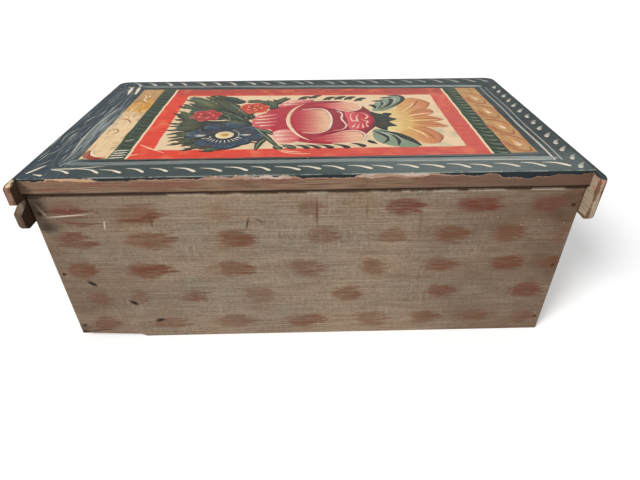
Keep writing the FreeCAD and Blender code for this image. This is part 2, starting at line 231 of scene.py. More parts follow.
class Surface(Nodes):
    """A material while it is put together, with the piece's own coordinates in metres."""

    def __init__(self, name: str) -> None:
        super().__init__(bpy.data.materials.new(name))
        own = self.add("TexCoord")
        self.place = own.outputs["Object"]
        self.facing = own.outputs["Normal"]
        self.at = self.add("SeparateXYZ", (self.place,)).outputs

    def coats(self, colour: Any, *coats: Coat) -> Any:
        """Lay coats over a colour, one after another.

        Args:
            colour: what they lie on, as a hex colour, a node or a socket.
            coats: the coats, the lowest first.

        Returns:
            A colour node.
        """
        colour = linear(colour) if isinstance(colour, str) else colour
        for coat in coats:
            mask = coat.field
            if coat.low is not None:
                ramp = SMOOTH if coat.soft else {}
                mask = self.add("MapRange", (mask, coat.low, coat.high, 0.0, coat.most), **ramp)
            if coat.within is not None:
                mask = self.add("Math", (mask, coat.within), **MULTIPLY)
            tint = linear(coat.tint) if isinstance(coat.tint, str) else coat.tint
            colour = self.add("Mix", {"Factor": mask, "A": colour, "B": tint}, **COLOUR)
        return colour

    def cloud(
        self,
        size_mm: float | Sequence[float],
        seed: float,
        detail: float = 2.0,
        rough: float = 0.5,
        place: Any = None,
    ) -> bpy.types.Node:
        """A soft random field, stretched to a real size.

        Args:
            size_mm: length of its features, the same all ways or along X, Y and Z.
            seed: any number, to tell one field from another.
            detail: how many finer layers it has.
            rough: how strong the finer layers are.
            place: coordinates other than the piece's own.

        Returns:
            A noise node with values round 0.5.
        """
        sizes = size_mm if isinstance(size_mm, (tuple, list)) else (size_mm,) * 3
        scales = [1 / (size * MM) for size in sizes]
        scaled = self.add("VectorMath", (place or self.place, scales), **MULTIPLY)
        looks = {"Vector": scaled, "W": seed, "Scale": 1.0, "Detail": detail, "Roughness": rough}
        return self.add("TexNoise", looks, noise_dimensions="4D")

    def spot(self, middle_mm: Sequence[float], size_mm: Sequence[float], turn: float = 0.0) -> bpy.types.Node:
        """A soft-edged oval mark on a wall or on the lid.

        Args:
            middle_mm: where it is.
            size_mm: half of its length along X, Y and Z, before the turn.
            turn: degrees about Y.

        Returns:
            A node that is 1 at the mark's middle and 0 outside it.
        """
        shifted = self.add("VectorMath", (self.place, [at * MM for at in middle_mm]), **SUBTRACT)
        angle = {"Vector": shifted, "Angle": math.radians(turn)}
        turned = self.add("VectorRotate", angle, rotation_type="Y_AXIS")
        scaled = self.add("VectorMath", (turned, [1 / (size * MM) for size in size_mm]), **MULTIPLY)
        away = self.add("VectorMath", (scaled,), **LENGTH).outputs["Value"]
        return self.add("MapRange", (away, 1.0, 0.3), **SMOOTH)

    def charted(self, run: Any, half: float, stops: Sequence[tuple[float, Triple]]) -> Any:
        """Three values charted along a line.

        Args:
            run: coordinate along the line, in metres.
            half: the chart reaches from -half to half, in mm.
            stops: places on it, from 0 to 1, each with its three values.

        Returns:
            The three values' sockets.
        """
        along = self.add("MapRange", (run, -half * MM, half * MM))
        return self.add("SeparateColor", (self.add("ValToRGB", (along,), stops),)).outputs

    def looks_along(self, side: Triple, low: float = 0.5, high: float = 0.65) -> bpy.types.Node:
        """1 where the surface faces the given way, and 0 elsewhere."""
        turned = self.add("VectorMath", (self.facing, side), operation="DOT_PRODUCT")
        return self.add("MapRange", (turned.outputs["Value"], low, high), **SMOOTH)

    def from_edge(self, low: Vector, high: Vector) -> bpy.types.Node:
        """Distance to the nearest edge of a box-shaped piece.

        Args:
            low: the piece's lowest corner.
            high: its highest corner.

        Returns:
            A node whose value is the distance in metres.
        """
        shifted = self.add("VectorMath", (self.place, (low + high) / 2), **SUBTRACT)
        size = self.add("VectorMath", (shifted,), **ABSOLUTE)
        left = self.add("VectorMath", ((high - low) / 2, size), **SUBTRACT)
        x, y, z = self.add("SeparateXYZ", (left,)).outputs
        less = self.add("Math", (x, y), **MINIMUM)
        more = self.add("Math", (x, y), **MAXIMUM)
        return self.add("Math", (less, self.add("Math", (more, z), **MINIMUM)), **MAXIMUM)

    def finish(
        self,
        colour: Any,
        roughness: Any,
        height: Any,
        relief_mm: float,
        metallic: float = 0.0,
        specular: float = 0.3,
    ) -> bpy.types.Material:
        """Close the material with one principled shader.

        Args:
            colour: node or socket for the base colour.
            roughness: node or socket, or one number.
            height: node or socket with a relief from 0 to 1.
            relief_mm: how deep that relief is.
            metallic: 0 for wood and paint.
            specular: the shader's specular level.

        Returns:
            The finished material.
        """
        bump = self.add("Bump", {"Strength": 1.0, "Distance": relief_mm * MM, "Height": height})
        looks = {"Base Color": colour, "Roughness": roughness, "Metallic": metallic,
                 "Specular IOR Level": specular, "Normal": bump}
        self.add("OutputMaterial", {"Surface": self.add("BsdfPrincipled", looks)})
        return self.owner


@dataclass(frozen=True)
class AgedSpruce:
    """Bare spruce, planed by hand and browned by age: late wood stands out as dark lines."""

    early: str = "#9c7c5c"
    late: str = "#6f5139"
    grime: str = "#5a4433"
    ring_mm: float = 2.1
    wander_mm: float = 5.0

    def grain(self, surface: Surface, along: Axis, pith_mm: Point) -> bpy.types.Node:
        """Growth rings round a pith line that runs along the board.

        Args:
            surface: the material that gets the rings.
            along: the board's length.
            pith_mm: where the pith line passes, in the two other axes in order.

        Returns:
            A node from 0, early wood, to 1, late wood.
        """
        others = [surface.at[index] for index in range(3) if index != along.value]
        offsets = [surface.add("Math", (run, at * MM), **SUBTRACT) for run, at in zip(others, pith_mm)]
        flat = surface.add("CombineXYZ", offsets)
        radius = surface.add("VectorMath", (flat,), **LENGTH).outputs["Value"]
        drift = surface.cloud(along.stretched(28, 240), pith_mm[0] * 0.1, 3)
        shifted = surface.add("Math", (drift, self.wander_mm * MM, radius), **MULTIPLY_ADD)
        turns = surface.add("Math", (shifted, self.ring_mm * MM), operation="DIVIDE")
        phase = surface.add("Math", (turns,), operation="FRACT")
        stops = [(0.0, 0.5), (0.12, 0.0), (0.55, 0.15), (0.93, 1.0), (1.0, 0.5)]
        return surface.add("ValToRGB", (phase,), stops)

    def colour(self, surface: Surface, rings: bpy.types.Node, along: Axis) -> bpy.types.Node:
        """Colour of the bare wood: rings, fine fibres and grime.

        Args:
            surface: the material that gets the colour.
            rings: what grain returned.
            along: the board's length.

        Returns:
            A colour node.
        """
        fibre = surface.cloud(along.stretched(1.1, 30), 3.1, 3, 0.6)
        return surface.coats(
            self.early,
            Coat(self.late, rings),
            Coat(self.late, fibre, 0.5, 0.85, 0.55, soft=False),
            Coat(self.grime, surface.cloud(55, 8.8, 4, 0.6), 0.42, 0.75, 0.75),
        )

    def build(self, name: str, along: Axis, pith_mm: Point) -> bpy.types.Material:
        """A material of bare aged spruce for one board.

        Args:
            name: the material's name.
            along: the board's length.
            pith_mm: where the pith line passes.

        Returns:
            The material.
        """
        surface = Surface(name)
        rings = self.grain(surface, along, pith_mm)
        return surface.finish(self.colour(surface, rings, along), 0.72, rings, 0.12)


@dataclass(frozen=True)
class Dab:
    """One dab of red-brown paint: its place and width along the board, and how it took."""

    middle_mm: float
    width_mm: float
    strength: float = 0.75
    brown: float = 0.35


@dataclass(frozen=True)
class DabRow:
    """A row of dabs at one height."""

    height_mm: float
    dabs: tuple[Dab, ...]
    half_height_mm: float = 8.6


@dataclass(frozen=True)
class Mark:
    """A dent, scratch, stain or painted shadow on a wall: where it is, its half sizes, tilt and colour."""

    x: float
    z: float
    half_length: float
    half_height: float
    turn: float
    tone: str
    strength: float = 1.0
    depth: float = 0.0


@dataclass(frozen=True)
class CaseinWash:
    """Grey casein paint brushed thinly over spruce, dabbed with red-brown while wet.

    The paint lies dry and chalky in the grain, so the wood's lines and the brush's show through.
    """

    ground: str = "#96816c"
    ground_cool: str = "#887a69"
    ground_warm: str = "#83644b"
    ground_light: str = "#b3a28d"
    grain_dark: str = "#624d3c"
    dab_red: str = "#69382a"
    dab_brown: str = "#6c4229"
    ends_darkening: str = "#5e4535"
    pit: str = "#3b2e25"
    chip: str = "#cdbfab"
    # Painted highlight along the top edge of the wall.
    crest_highlight: str = "#f1e3cc"
    marks: tuple[Mark, ...] = ()
    wood: AgedSpruce = AgedSpruce()

    def row(self, surface: Surface, across: Any, up: Any, row: DabRow, half: float) -> tuple[Any, Any]:
        """A row of red-brown ovals, ragged along the grain.

        A ramp along the row says how far each place is from the middle of its dab, in red, and
        how the dab took, in green and blue.

        Args:
            surface: the material that gets them.
            across: coordinate along the row, in metres.
            up: height, in metres.
            row: the row.
            half: half of the row's length, in mm.

        Returns:
            A node that is 1 inside a strong dab, and a socket that is 1 in a brown one.
        """
        stops: list[tuple[float, Triple]] = []
        for dab in sorted(row.dabs, key=lambda item: item.middle_mm):
            for shift, inside in ((-0.56, 0.0), (0.0, 1.0), (0.56, 0.0)):
                at = (dab.middle_mm + shift * dab.width_mm + half) / (2 * half)
                least = stops[-1][0] + 0.001 if stops else 0.0
                stops.append((min(max(at, least), 1.0), (inside, dab.strength, dab.brown)))
        middle, strength, brown = surface.charted(across, half, stops)
        beside = surface.add("Math", (1.0, middle), **SUBTRACT)
        above = surface.add("Math", (up, row.height_mm * MM), **SUBTRACT)
        above = surface.add("Math", (above, 1 / (row.half_height_mm * MM)), **MULTIPLY)
        flat = surface.add("CombineXYZ", (beside, above))
        away = surface.add("VectorMath", (flat,), **LENGTH).outputs["Value"]
        oval = surface.add("MapRange", (away, 1.08, 0.55), **SMOOTH)
        return surface.add("Math", (oval, strength), **MULTIPLY), brown

    def brushwork(self, surface: Surface, along: Axis) -> tuple[Any, Any, Any]:
        """The thin grey paint, streaked along the grain and, in places, upright.

        Args:
            surface: the material.
            along: the board's length.

        Returns:
            The paint's colour, the streaks along the grain, and the upright ones.
        """
        lines = surface.cloud(along.stretched(0.8, 30), 1.3, 3, 0.6)
        bands = surface.cloud(along.stretched(2.6, 55), 4.7, 4, 0.65)
        brush = surface.cloud((2.2, 2.2, 11), 5.2, 4, 0.7)
        nap = surface.cloud(1.7, 8.8, 3, 0.7)
        patch = surface.cloud((70, 70, 40), 2.2, 4, 0.6)
        warmth = surface.cloud((34, 34, 22), 6.2, 5, 0.65)
        crossed = surface.add("MapRange", (warmth, 0.52, 0.4, 0.0, 0.5), **SMOOTH)
        streaks = [
            Coat(tint, field, 0.5, high, most, soft=False)
            for field, light, dark in ((lines, 0.42, 0.42), (bands, 0.3, 0.34), (nap, 0.34, 0.4))
            for tint, high, most in ((self.ground_light, 0.72, light), (self.grain_dark, 0.28, dark))
        ]
        paint = surface.coats(
            self.ground,
            Coat(self.ground_cool, patch, 0.36, 0.64),
            Coat(self.ground_warm, warmth, 0.48, 0.72, 0.6),
            *streaks,
            Coat(self.ground_light, brush, 0.52, 0.72, within=crossed, soft=False),
            Coat(self.grain_dark, brush, 0.47, 0.28, within=crossed, soft=False),
        )
        return paint, lines, brush

    def build(
        self, name: str, side: Side, rows: Sequence[DabRow], half: float, box: tuple[Vector, Vector]
    ) -> bpy.types.Material:
        """A material for one wall board: painted outside, bare inside.

        Args:
            name: the material's name.
            side: the painted face.
            rows: the rows of dabs on it.
            half: half of the rows' length, in mm.
            box: the board's lowest and highest corners.

        Returns:
            The material.
        """
        surface = Surface(name)
        add, cloud = surface.add, surface.cloud
        lengthwise = side in (Side.BACK, Side.FRONT)
        along = Axis.X if lengthwise else Axis.Y
        pith = (box[0].y / MM + 60, 210.0) if lengthwise else (box[0].x / MM + 60, 190.0)
        rings = self.wood.grain(surface, along, pith)
        bare = self.wood.colour(surface, rings, along)
        paint, lines, brush = self.brushwork(surface, along)

        rag = cloud(along.stretched(1.1, 11), 7.7, 3, 0.6)
        run, height = surface.at[along.value], surface.at[2]
        torn = add("MapRange", (rag, 0.3, 0.7, -7 * MM, 7 * MM))
        wave = add("MapRange", (cloud((30, 30, 12), 3.7, 3, 0.6), 0.3, 0.7, -3.5 * MM, 3.5 * MM))
        across, up = add("Math", (run, torn)), add("Math", (height, wave))
        broken = add("MapRange", (rag, 0.3, 0.6, 0.4, 1.0))
        # Darker towards both ends of the board, most at its low end, in cloudy patches.
        ends = add("MapRange", (run, 0.45 * half * MM, half * MM, 0.0, 0.42))
        other = add("MapRange", (run, -0.3 * half * MM, -half * MM, 0.0, 0.8))
        cloudy = add("MapRange", (cloud((60, 60, 30), 1.9, 4, 0.6), 0.35, 0.65, 0.4, 1.4))
        paint = surface.coats(paint, Coat(self.ends_darkening, add("Math", (ends, other)), within=cloudy))
        for row in rows:
            dabbed, brown = self.row(surface, across, up, row, half)
            tone = surface.coats(self.dab_red, Coat(self.dab_brown, brown))
            paint = surface.coats(paint, Coat(tone, dabbed, within=broken))

        pits = add("TexVoronoi", {"Vector": surface.place, "Scale": 1 / (6 * MM), "Randomness": 1.0})
        pit = add("MapRange", (pits, 0.1, 0.05), **SMOOTH)
        kind = add("SeparateXYZ", (pits.outputs["Color"],))
        paint = surface.coats(
            paint,
            Coat(self.pit, pit, within=add("MapRange", (kind, 0.8, 0.82, 0.0, 0.7))),
            Coat(self.chip, pit, within=add("MapRange", (kind, 0.18, 0.15, 0.0, 0.6))),
        )
        hollow = pit
        # Marks: dents, scratches and stains, and painted shadow where the list has one.
        for mark in self.marks:
            size = (mark.half_length, 4.0, mark.half_height)
            spot = surface.spot((mark.x, box[1].y / MM, mark.z), size, mark.turn)
            paint = surface.coats(paint, Coat(mark.tone, spot, within=mark.strength))
            hollow = add("Math", (spot, mark.depth, hollow), **MULTIPLY_ADD)

        reach = add("MapRange", (cloud((9, 9, 4), 4.4, 5, 0.7), 0.38, 0.78, -1.5 * MM, 3.5 * MM))
        gone = add("Math", (reach, surface.from_edge(*box)), **SUBTRACT)
        # Painted highlight: a broken pale line just below the wall's top edge, where it catches the light
        # under the lid; faded out near the +X end.
        crest_highlight = add("MapRange", (height, (WALL_TOP - 2.8) * MM, (WALL_TOP - 2.2) * MM), **SMOOTH)
        dash = add("MapRange", (cloud(22, 9.9, 3, 0.7), 0.45, 0.55, 0.0, 0.85), **SMOOTH)
        crest_highlight = add("Math", (crest_highlight, dash), **MULTIPLY)
        kept = add("MapRange", (run, 118 * MM, 95 * MM, 0.0, 0.6))
        paint = surface.coats(
            paint, Coat(bare, gone, 0.0, 0.5 * MM, 0.85), Coat(self.crest_highlight, crest_highlight, within=kept)
        )
        colour = surface.coats(bare, Coat(paint, surface.looks_along(side.value)))
        relief = add("Math", (add("Math", (lines, brush)), rings))
        relief = add("Math", (relief, hollow), **SUBTRACT)
        return surface.finish(colour, 0.85, relief, 0.13, specular=0.15)


@dataclass(frozen=True)
class LidWear:
    """Where the lid's paint has gone: the same on the board and on every stroke over it."""

    ground: str = "#e2c39a"
    wood: str = "#7a583f"
    scuff: str = "#a3aaa6"
    ends_mm: float = 193.5
    rear_mm: float = 104.5
    front_mm: float = 113.0

    def chips(self, surface: Surface) -> bpy.types.Node:
        """A node that is 1 where the paint has flaked off, most of all along the lid's rim.

        Args:
            surface: the material that wears.

        Returns:
            The mask, from 0 to 1.
        """
        add = surface.add
        x, y, _ = surface.at
        ends = add("Math", (self.ends_mm * MM, add("Math", (x,), **ABSOLUTE)), **SUBTRACT)
        rear = add("Math", (self.rear_mm * MM, y), **SUBTRACT)
        front = add("Math", (y, self.front_mm * MM))
        near = add("Math", (add("Math", (rear, front), **MINIMUM), ends), **MINIMUM)
        rim = add("MapRange", (near, 2.2 * MM, 0.0, 0.0, 0.15), **SMOOTH)
        end = add("MapRange", (x, 120 * MM, 190 * MM, 0.0, 0.05))
        broad, fine = surface.cloud(40, 9.4, 2), surface.cloud(4, 6.1, 5, 0.7)
        total = add("Math", (broad, 0.35, fine), **MULTIPLY_ADD)
        total = add("Math", (add("Math", (total, rim)), end))
        return add("MapRange", (total, 0.885, 0.905), **SMOOTH)

    def rubbed(self, surface: Surface) -> bpy.types.Node:
        """A node that is 1 in the pale scuffs along the lid's right end.

        Args:
            surface: the material that wears.

        Returns:
            The mask, from 0 to 1.
        """
        add, cloud = surface.add, surface.cloud
        thin = add("MapRange", (cloud((0.8, 26, 10), 2.9, 3, 0.65), 0.56, 0.66, 0.0, 0.85), **SMOOTH)
        wide = add("MapRange", (cloud((5, 45, 30), 4.2, 5, 0.65), 0.52, 0.68, 0.0, 0.6), **SMOOTH)
        total = add("Math", (thin, wide), **MAXIMUM)
        return add("Math", (total, surface.spot((171, 10, LID_TOP), (30, 130, 30))), **MULTIPLY)

    def over(self, surface: Surface, paint: Any, flake: Any) -> bpy.types.Node:
        """The paint's colour with the scuffs and the chips in it.

        Args:
            surface: the material that wears.
            paint: the unworn colour.
            flake: what chips returned.

        Returns:
            A colour node.
        """
        under = surface.coats(self.ground, Coat(self.wood, surface.cloud(3, 1.7, 2), 0.5, 0.6))
        return surface.coats(paint, Coat(self.scuff, self.rubbed(surface)), Coat(under, flake))


@dataclass(frozen=True)
class LidLayout:
    """The painted frames on the lid, nested round one point, in mm.

    The rear lines run true, and the ones at the front lean: they come nearer as they go left.
    """

    middle: float = -1.5
    ochre: float = 161.0
    green: float = 141.5
    cream_line: float = 129.4
    red: float = 127.6
    panel: float = 113.2
    far: float = -80.0
    near: float = 76.3
    panel_far: float = -60.5
    panel_near: float = 62.3
    lean: float = 0.00014


@dataclass(frozen=True)
class LidPaint:
    """Oil-bound tempera on a glued softwood board, brushed in flat bands and worn by hands."""

    border: str = "#272f31"
    border_near: str = "#354140"
    border_chalky: str = "#707b79"
    border_light: str = "#4c5653"
    border_blue: str = "#1b2e3c"
    smeared: str = "#a9b1a8"
    # Painted highlight on the lid's rounded arris.
    arris_highlight: str = "#949b94"
    ochre: str = "#b08250"
    ochre_light: str = "#d0a673"
    ochre_bright: str = "#dd9f33"
    ochre_worn: str = "#f5d4a6"
    ochre_dirty: str = "#b59d78"
    green: str = "#41533c"
    green_dark: str = "#222f22"
    cream: str = "#f3d9b4"
    red: str = "#e8432c"
    red_uneven_light: str = "#cf6259"
    red_far: str = "#a04339"
    red_shade: str = "#9c2f25"
    red_faded: str = "#f08a68"
    panel: str = "#f0d0a9"
    panel_stain: str = "#c2ba9c"
    edge: str = "#947760"
    edge_dark: str = "#62493a"
    edge_red: str = "#7f5243"
    edge_gap_shade: str = "#1a110b"
    sliver: str = "#b6927c"
    sliver_bright: str = "#dcb088"
    sliver_fleck: str = "#f0e0d2"
    lip: str = "#1b2327"
    lip_mm: float = 6.0
    lips: tuple[Triple, ...] = (
        (-193, 2.2, 0.0), (-163, 2.6, 0.1), (-158, 4.8, 0.3), (-128, 4.4, 0.4), (-124, 1.6, 0.4),
        (-100, 2.4, 0.5), (-80, 0.9, 1.2), (-74, 0.2, 3.0), (-36, 0.3, 2.6), (-30, 2.8, 0.6),
        (3, 3.0, 0.6), (14, 0.5, 1.8), (60, 0.4, 2.2), (70, 1.5, 1.0), (108, 1.6, 0.6),
        (116, 2.8, 0.1), (137, 2.6, 0.0), (141, 0.2, 2.6), (158, 0.3, 1.8), (168, 0.5, 1.0),
        (171, 2.0, 0.2), (193, 2.4, 0.2),
    )
    layout: LidLayout = LidLayout()
    wear: LidWear = LidWear()
    wood: AgedSpruce = AgedSpruce()

    def band(self, surface: Surface, x: Any, y: Any, half: float, far: float, near: float) -> Any:
        """1 inside an upright rectangle of the layout, with a brushed edge.

        Args:
            surface: the material.
            x: coordinate along the lid, in metres.
            y: coordinate across it, in metres.
            half: half of the rectangle's length, in mm.
            far: its far side, in mm.
            near: its near side, in mm.

        Returns:
            A node from 0 to 1.
        """
        add, middle = surface.add, (far + near) / 2
        side = add("Math", (add("Math", (x,), **ABSOLUTE), half * MM), **SUBTRACT)
        depth = add("Math", (add("Math", (y, middle * MM), **SUBTRACT),), **ABSOLUTE)
        depth = add("Math", (depth, (near - middle) * MM), **SUBTRACT)
        return add("MapRange", (add("Math", (side, depth), **MAXIMUM), 0.3 * MM, -0.4 * MM))

    def ochres(self, surface: Surface, x: Any, y: Any, cross: Any, mottle: Any) -> Any:
        """The two ochre bands: dull at the left, bright and then worn pale at the right.

        Args:
            surface: the material.
            x: coordinate along the lid, in metres.
            y: coordinate across it.
            cross: brush streaks across the band.
            mottle: soft blotches.

        Returns:
            A colour node.
        """
        right = surface.add("MapRange", (x, 0.0, 100 * MM))
        drift = surface.add("MapRange", (mottle, 0.3, 0.7, -22 * MM, 22 * MM))
        reach = surface.add("Math", (y, drift))
        return surface.coats(
            self.ochre,
            Coat(self.ochre_light, cross, 0.35, 0.7, soft=False),
            Coat(self.ochre_bright, surface.spot((148, -36, LID_TOP), (15, 25, 30))),
            Coat(self.ochre_worn, reach, -32 * MM, -8 * MM, 0.92, right),
            Coat(self.ochre_dirty, mottle, 0.52, 0.68, 0.55, right),
            Coat(self.ochre, cross, 0.5, 0.36, 0.35, right, soft=False),
        )

    def rim(self, surface: Surface) -> Any:
        """The lid's edges: brown wood with a ragged lip of dark paint along the top, and painted shade along
        the bottom for the gap over the wall.

        Args:
            surface: the material.

        Returns:
            A colour node.
        """
        add, cloud = surface.add, surface.cloud
        x, _, z = surface.at
        ends = self.wear.ends_mm
        stops = [
            (0.5 + at / (2 * ends), (dark / self.lip_mm, light / self.lip_mm, 0.0))
            for at, dark, light in self.lips
        ]
        dark, light, _ = surface.charted(x, ends, stops)
        drip = add("MapRange", (cloud((9, 9, 6), 6.6, 5, 0.65), 0.35, 0.65, 0.9 * MM, -0.9 * MM))
        depth = add("Math", (add("Math", (LID_TOP * MM, z), **SUBTRACT), drip))
        depth = add("Math", (depth, 1 / (self.lip_mm * MM)), **MULTIPLY)
        below = add("Math", (add("Math", (dark, light)), depth), **SUBTRACT)
        above = add("Math", (dark, depth), **SUBTRACT)
        tint = cloud((45, 20, 6), 2.5, 4, 0.6)
        raw = surface.coats(
            self.sliver,
            Coat(self.sliver_bright, surface.spot((156, self.wear.rear_mm, LID_TOP), (30, 20, 30))),
            Coat(self.sliver_fleck, tint, 0.56, 0.64, 0.6),
        )
        return surface.coats(
            self.edge,
            Coat(self.edge_dark, cloud((26, 26, 0.8), 2.1, 3, 0.6), 0.42, 0.66, soft=False),
            Coat(self.edge_red, tint, 0.46, 0.62, 0.7),
            Coat(self.edge_dark, x, -20 * MM, -150 * MM, 0.9, soft=False),
            Coat(raw, below, -0.04, 0.05, 0.72),
            Coat(self.lip, above, -0.02, 0.03, soft=False),
            # Painted shade: the lowest 1.6 mm of the edges darkened for the shaded gap between the lid and
            # the wall.
            Coat(self.edge_gap_shade, z, (LID_UNDER + 1.6) * MM, (LID_UNDER + 0.8) * MM, 0.95),
        )

    def build(self, name: str) -> bpy.types.Material:
        """The lid board's material: painted top, dark arris, brown edges, bare underside.

        Args:
            name: the material's name.

        Returns:
            The material.
        """
        surface = Surface(name)
        add, cloud, coats, spot, plan = surface.add, surface.cloud, surface.coats, surface.spot, self.layout
        rings = self.wood.grain(surface, Axis.X, (40.0, 60.0))
        bare = self.wood.colour(surface, rings, Axis.X)

        waver = cloud(26, 0.6, 5, 0.6).outputs["Color"]
        shift = add("VectorMath", (waver, (0.5, 0.5, 0.5)), **SUBTRACT)
        shift = add("VectorMath", {0: shift, "Scale": 3.6 * MM}, operation="SCALE")
        along, deep, _ = add("SeparateXYZ", (add("VectorMath", (surface.place, shift)),)).outputs
        x = add("Math", (along, plan.middle * MM), **SUBTRACT)
        lean = add("Math", (x, add("Math", (plan.near * MM, deep), **SUBTRACT)), **MULTIPLY)
        y = add("Math", (lean, plan.lean / MM, deep), **MULTIPLY_ADD)
        band = partial(self.band, surface, x, y)

        streak = cloud((26, 1.3, 30), 3.8, 4, 0.65)
        cross = cloud((1.5, 22, 30), 5.8, 4, 0.65)
        mottle = cloud(16, 7.1, 5, 0.62)
        smear = cloud((2.6, 34, 30), 1.2, 4, 0.65)
        ochre = self.ochres(surface, x, y, cross, mottle)
        green = coats(self.green_dark, Coat(self.green, cross, 0.35, 0.65, soft=False))
        red = coats(
            self.red,
            # Painted light: the red duller towards -X, standing in for the change of light across the lid.
            Coat(self.red_uneven_light, x, 80 * MM, -90 * MM, 0.8, soft=False),
            Coat(self.red_far, y, -55 * MM, -70 * MM, 0.75, soft=False),
            Coat(self.red_shade, streak, 0.55, 0.25, 0.6, soft=False),
            Coat(self.red_faded, mottle, 0.47, 0.68, 0.55),
        )
        aside = add("MapRange", (x, 0.0, -100 * MM, 0.5, 1.0))
        panel = coats(self.panel, Coat(self.panel_stain, mottle, 0.46, 0.66, 0.85, aside))
        colour = coats(
            self.border,
            Coat(self.border_near, deep, 40 * MM, 95 * MM, soft=False),
            Coat(self.border_chalky, spot((-105, 92, LID_TOP), (120, 34, 30)), within=0.7),
            Coat(self.border_light, streak, 0.47, 0.75, 0.75, soft=False),
            Coat(self.border_blue, x, 140 * MM, 175 * MM, 0.6),
            Coat(ochre, band(plan.ochre, plan.far - 1, plan.near - 1)),
            Coat(self.smeared, smear, 0.38, 0.6, 0.9, spot((165.5, 24, LID_TOP), (6.5, 72, 30))),
            Coat(green, band(plan.green, plan.far - 2, plan.near)),
            Coat(self.cream, band(plan.cream_line, plan.far, plan.near)),
            Coat(red, band(plan.red, plan.far - 0.5, plan.near + 0.5)),
            Coat(panel, band(plan.panel, plan.panel_far, plan.panel_near)),
        )

        flake = self.wear.chips(surface)
        # Painted highlight: a pale grey line, broken by noise, where the painted top rounds over its arris.
        corner = add("Math", (1.0, surface.looks_along((0.0, 0.0, 1.0), 0.9, 0.99)), **SUBTRACT)
        painted = coats(
            self.wear.over(surface, colour, flake),
            Coat(self.arris_highlight, cloud(20, 5.5, 4, 0.7), 0.4, 0.55, 0.8, corner),
        )
        colour = coats(
            self.rim(surface),
            Coat(painted, surface.looks_along((0.0, 0.0, 1.0), 0.6, 0.75)),
            Coat(bare, surface.looks_along((0.0, 0.0, -1.0))),
        )
        relief = add("Math", (add("Math", (streak, mottle)), rings))
        relief = add("Math", (relief, flake), **SUBTRACT)
        gloss = add("MapRange", (mottle, 0.3, 0.7, 0.45, 0.65))
        return surface.finish(colour, gloss, relief, 0.1, specular=0.18)


@dataclass(frozen=True)
class BattenPaint:
    """A hand-cut batten: border paint on top, worn pale paint and bare wood down its sides."""

    border: str = "#2a3234"
    border_light: str = "#535d5b"
    pale: str = "#b09e88"
    pale_dark: str = "#8f7d68"
    pink: str = "#b07e6b"
    brown: str = "#76563c"
    dark: str = "#4c3a2a"
    inside: str = "#38281d"
    arris: str = "#674529"
    wear: LidWear = LidWear()

    def build(self, name: str, box: tuple[Vector, Vector], grime: float) -> bpy.types.Material:
        """The material of one batten.

        Args:
            name: the material's name.
            box: the batten's lowest and highest corners.
            grime: 0 for a batten that has kept its pale paint, 1 for one that has lost it and is darker low
                down and on its -X side, partly grime and partly painted shade.

        Returns:
            The material.
        """
        surface = Surface(name)
        add, cloud = surface.add, surface.cloud
        x, _, z = surface.at
        fibre = cloud((1.2, 22, 1.2), 1.1, 3, 0.6)
        patch = cloud((8, 12, 8), 3.3, 4, 0.65)
        upper = add("MapRange", (z, 124 * MM, 134 * MM, -0.12, 0.1))
        rosy = add("Math", (cloud((9, 12, 8), 8.3, 4, 0.6), upper))
        outer = add("MapRange", (add("Math", (x,), **ABSOLUTE), 190.8 * MM, 193.0 * MM, -0.1, 0.2))
        reach = add("MapRange", (patch, 0.35, 0.7, 0.2 * MM, 3.4 * MM))
        gone = add("Math", (reach, surface.from_edge(*box)), **SUBTRACT)
        # Darker low down: partly grime, partly painted shade on the lower faces of the tail.
        low_grime_and_shade = add("MapRange", (z, 127 * MM, 123 * MM, 0.45 * grime, 0.85 * grime), **SMOOTH)
        side = surface.coats(
            self.pale_dark,
            Coat(self.pale, fibre, 0.35, 0.65, soft=False),
            Coat(self.pink, rosy, 0.52, 0.6, 0.85),
            Coat(self.brown, add("Math", (patch, outer)), 0.52, 0.62, 0.75),
            Coat(self.arris, gone, 0.0, 0.8 * MM, 0.85),
            Coat(self.dark, low_grime_and_shade),
            # The -X side darker: partly grime, partly painted shade between the tail and the wall.
            Coat(self.inside, surface.looks_along((-1.0, 0.0, 0.0), 0.2, 0.8), within=0.85 * grime),
        )
        drip = add("MapRange", (patch, 0.35, 0.65, 4.0 * MM, 0.3 * MM))
        slate = surface.coats(self.border, Coat(self.border_light, fibre, 0.45, 0.72, 0.7, soft=False))
        slate = self.wear.over(surface, slate, self.wear.chips(surface))
        capped = Coat(slate, add("Math", (z, drip)), LID_TOP * MM, (LID_TOP + 0.4) * MM, soft=False)
        return surface.finish(
            surface.coats(side, capped), 0.7, add("Math", (fibre, patch)), 0.2, specular=0.2
        )


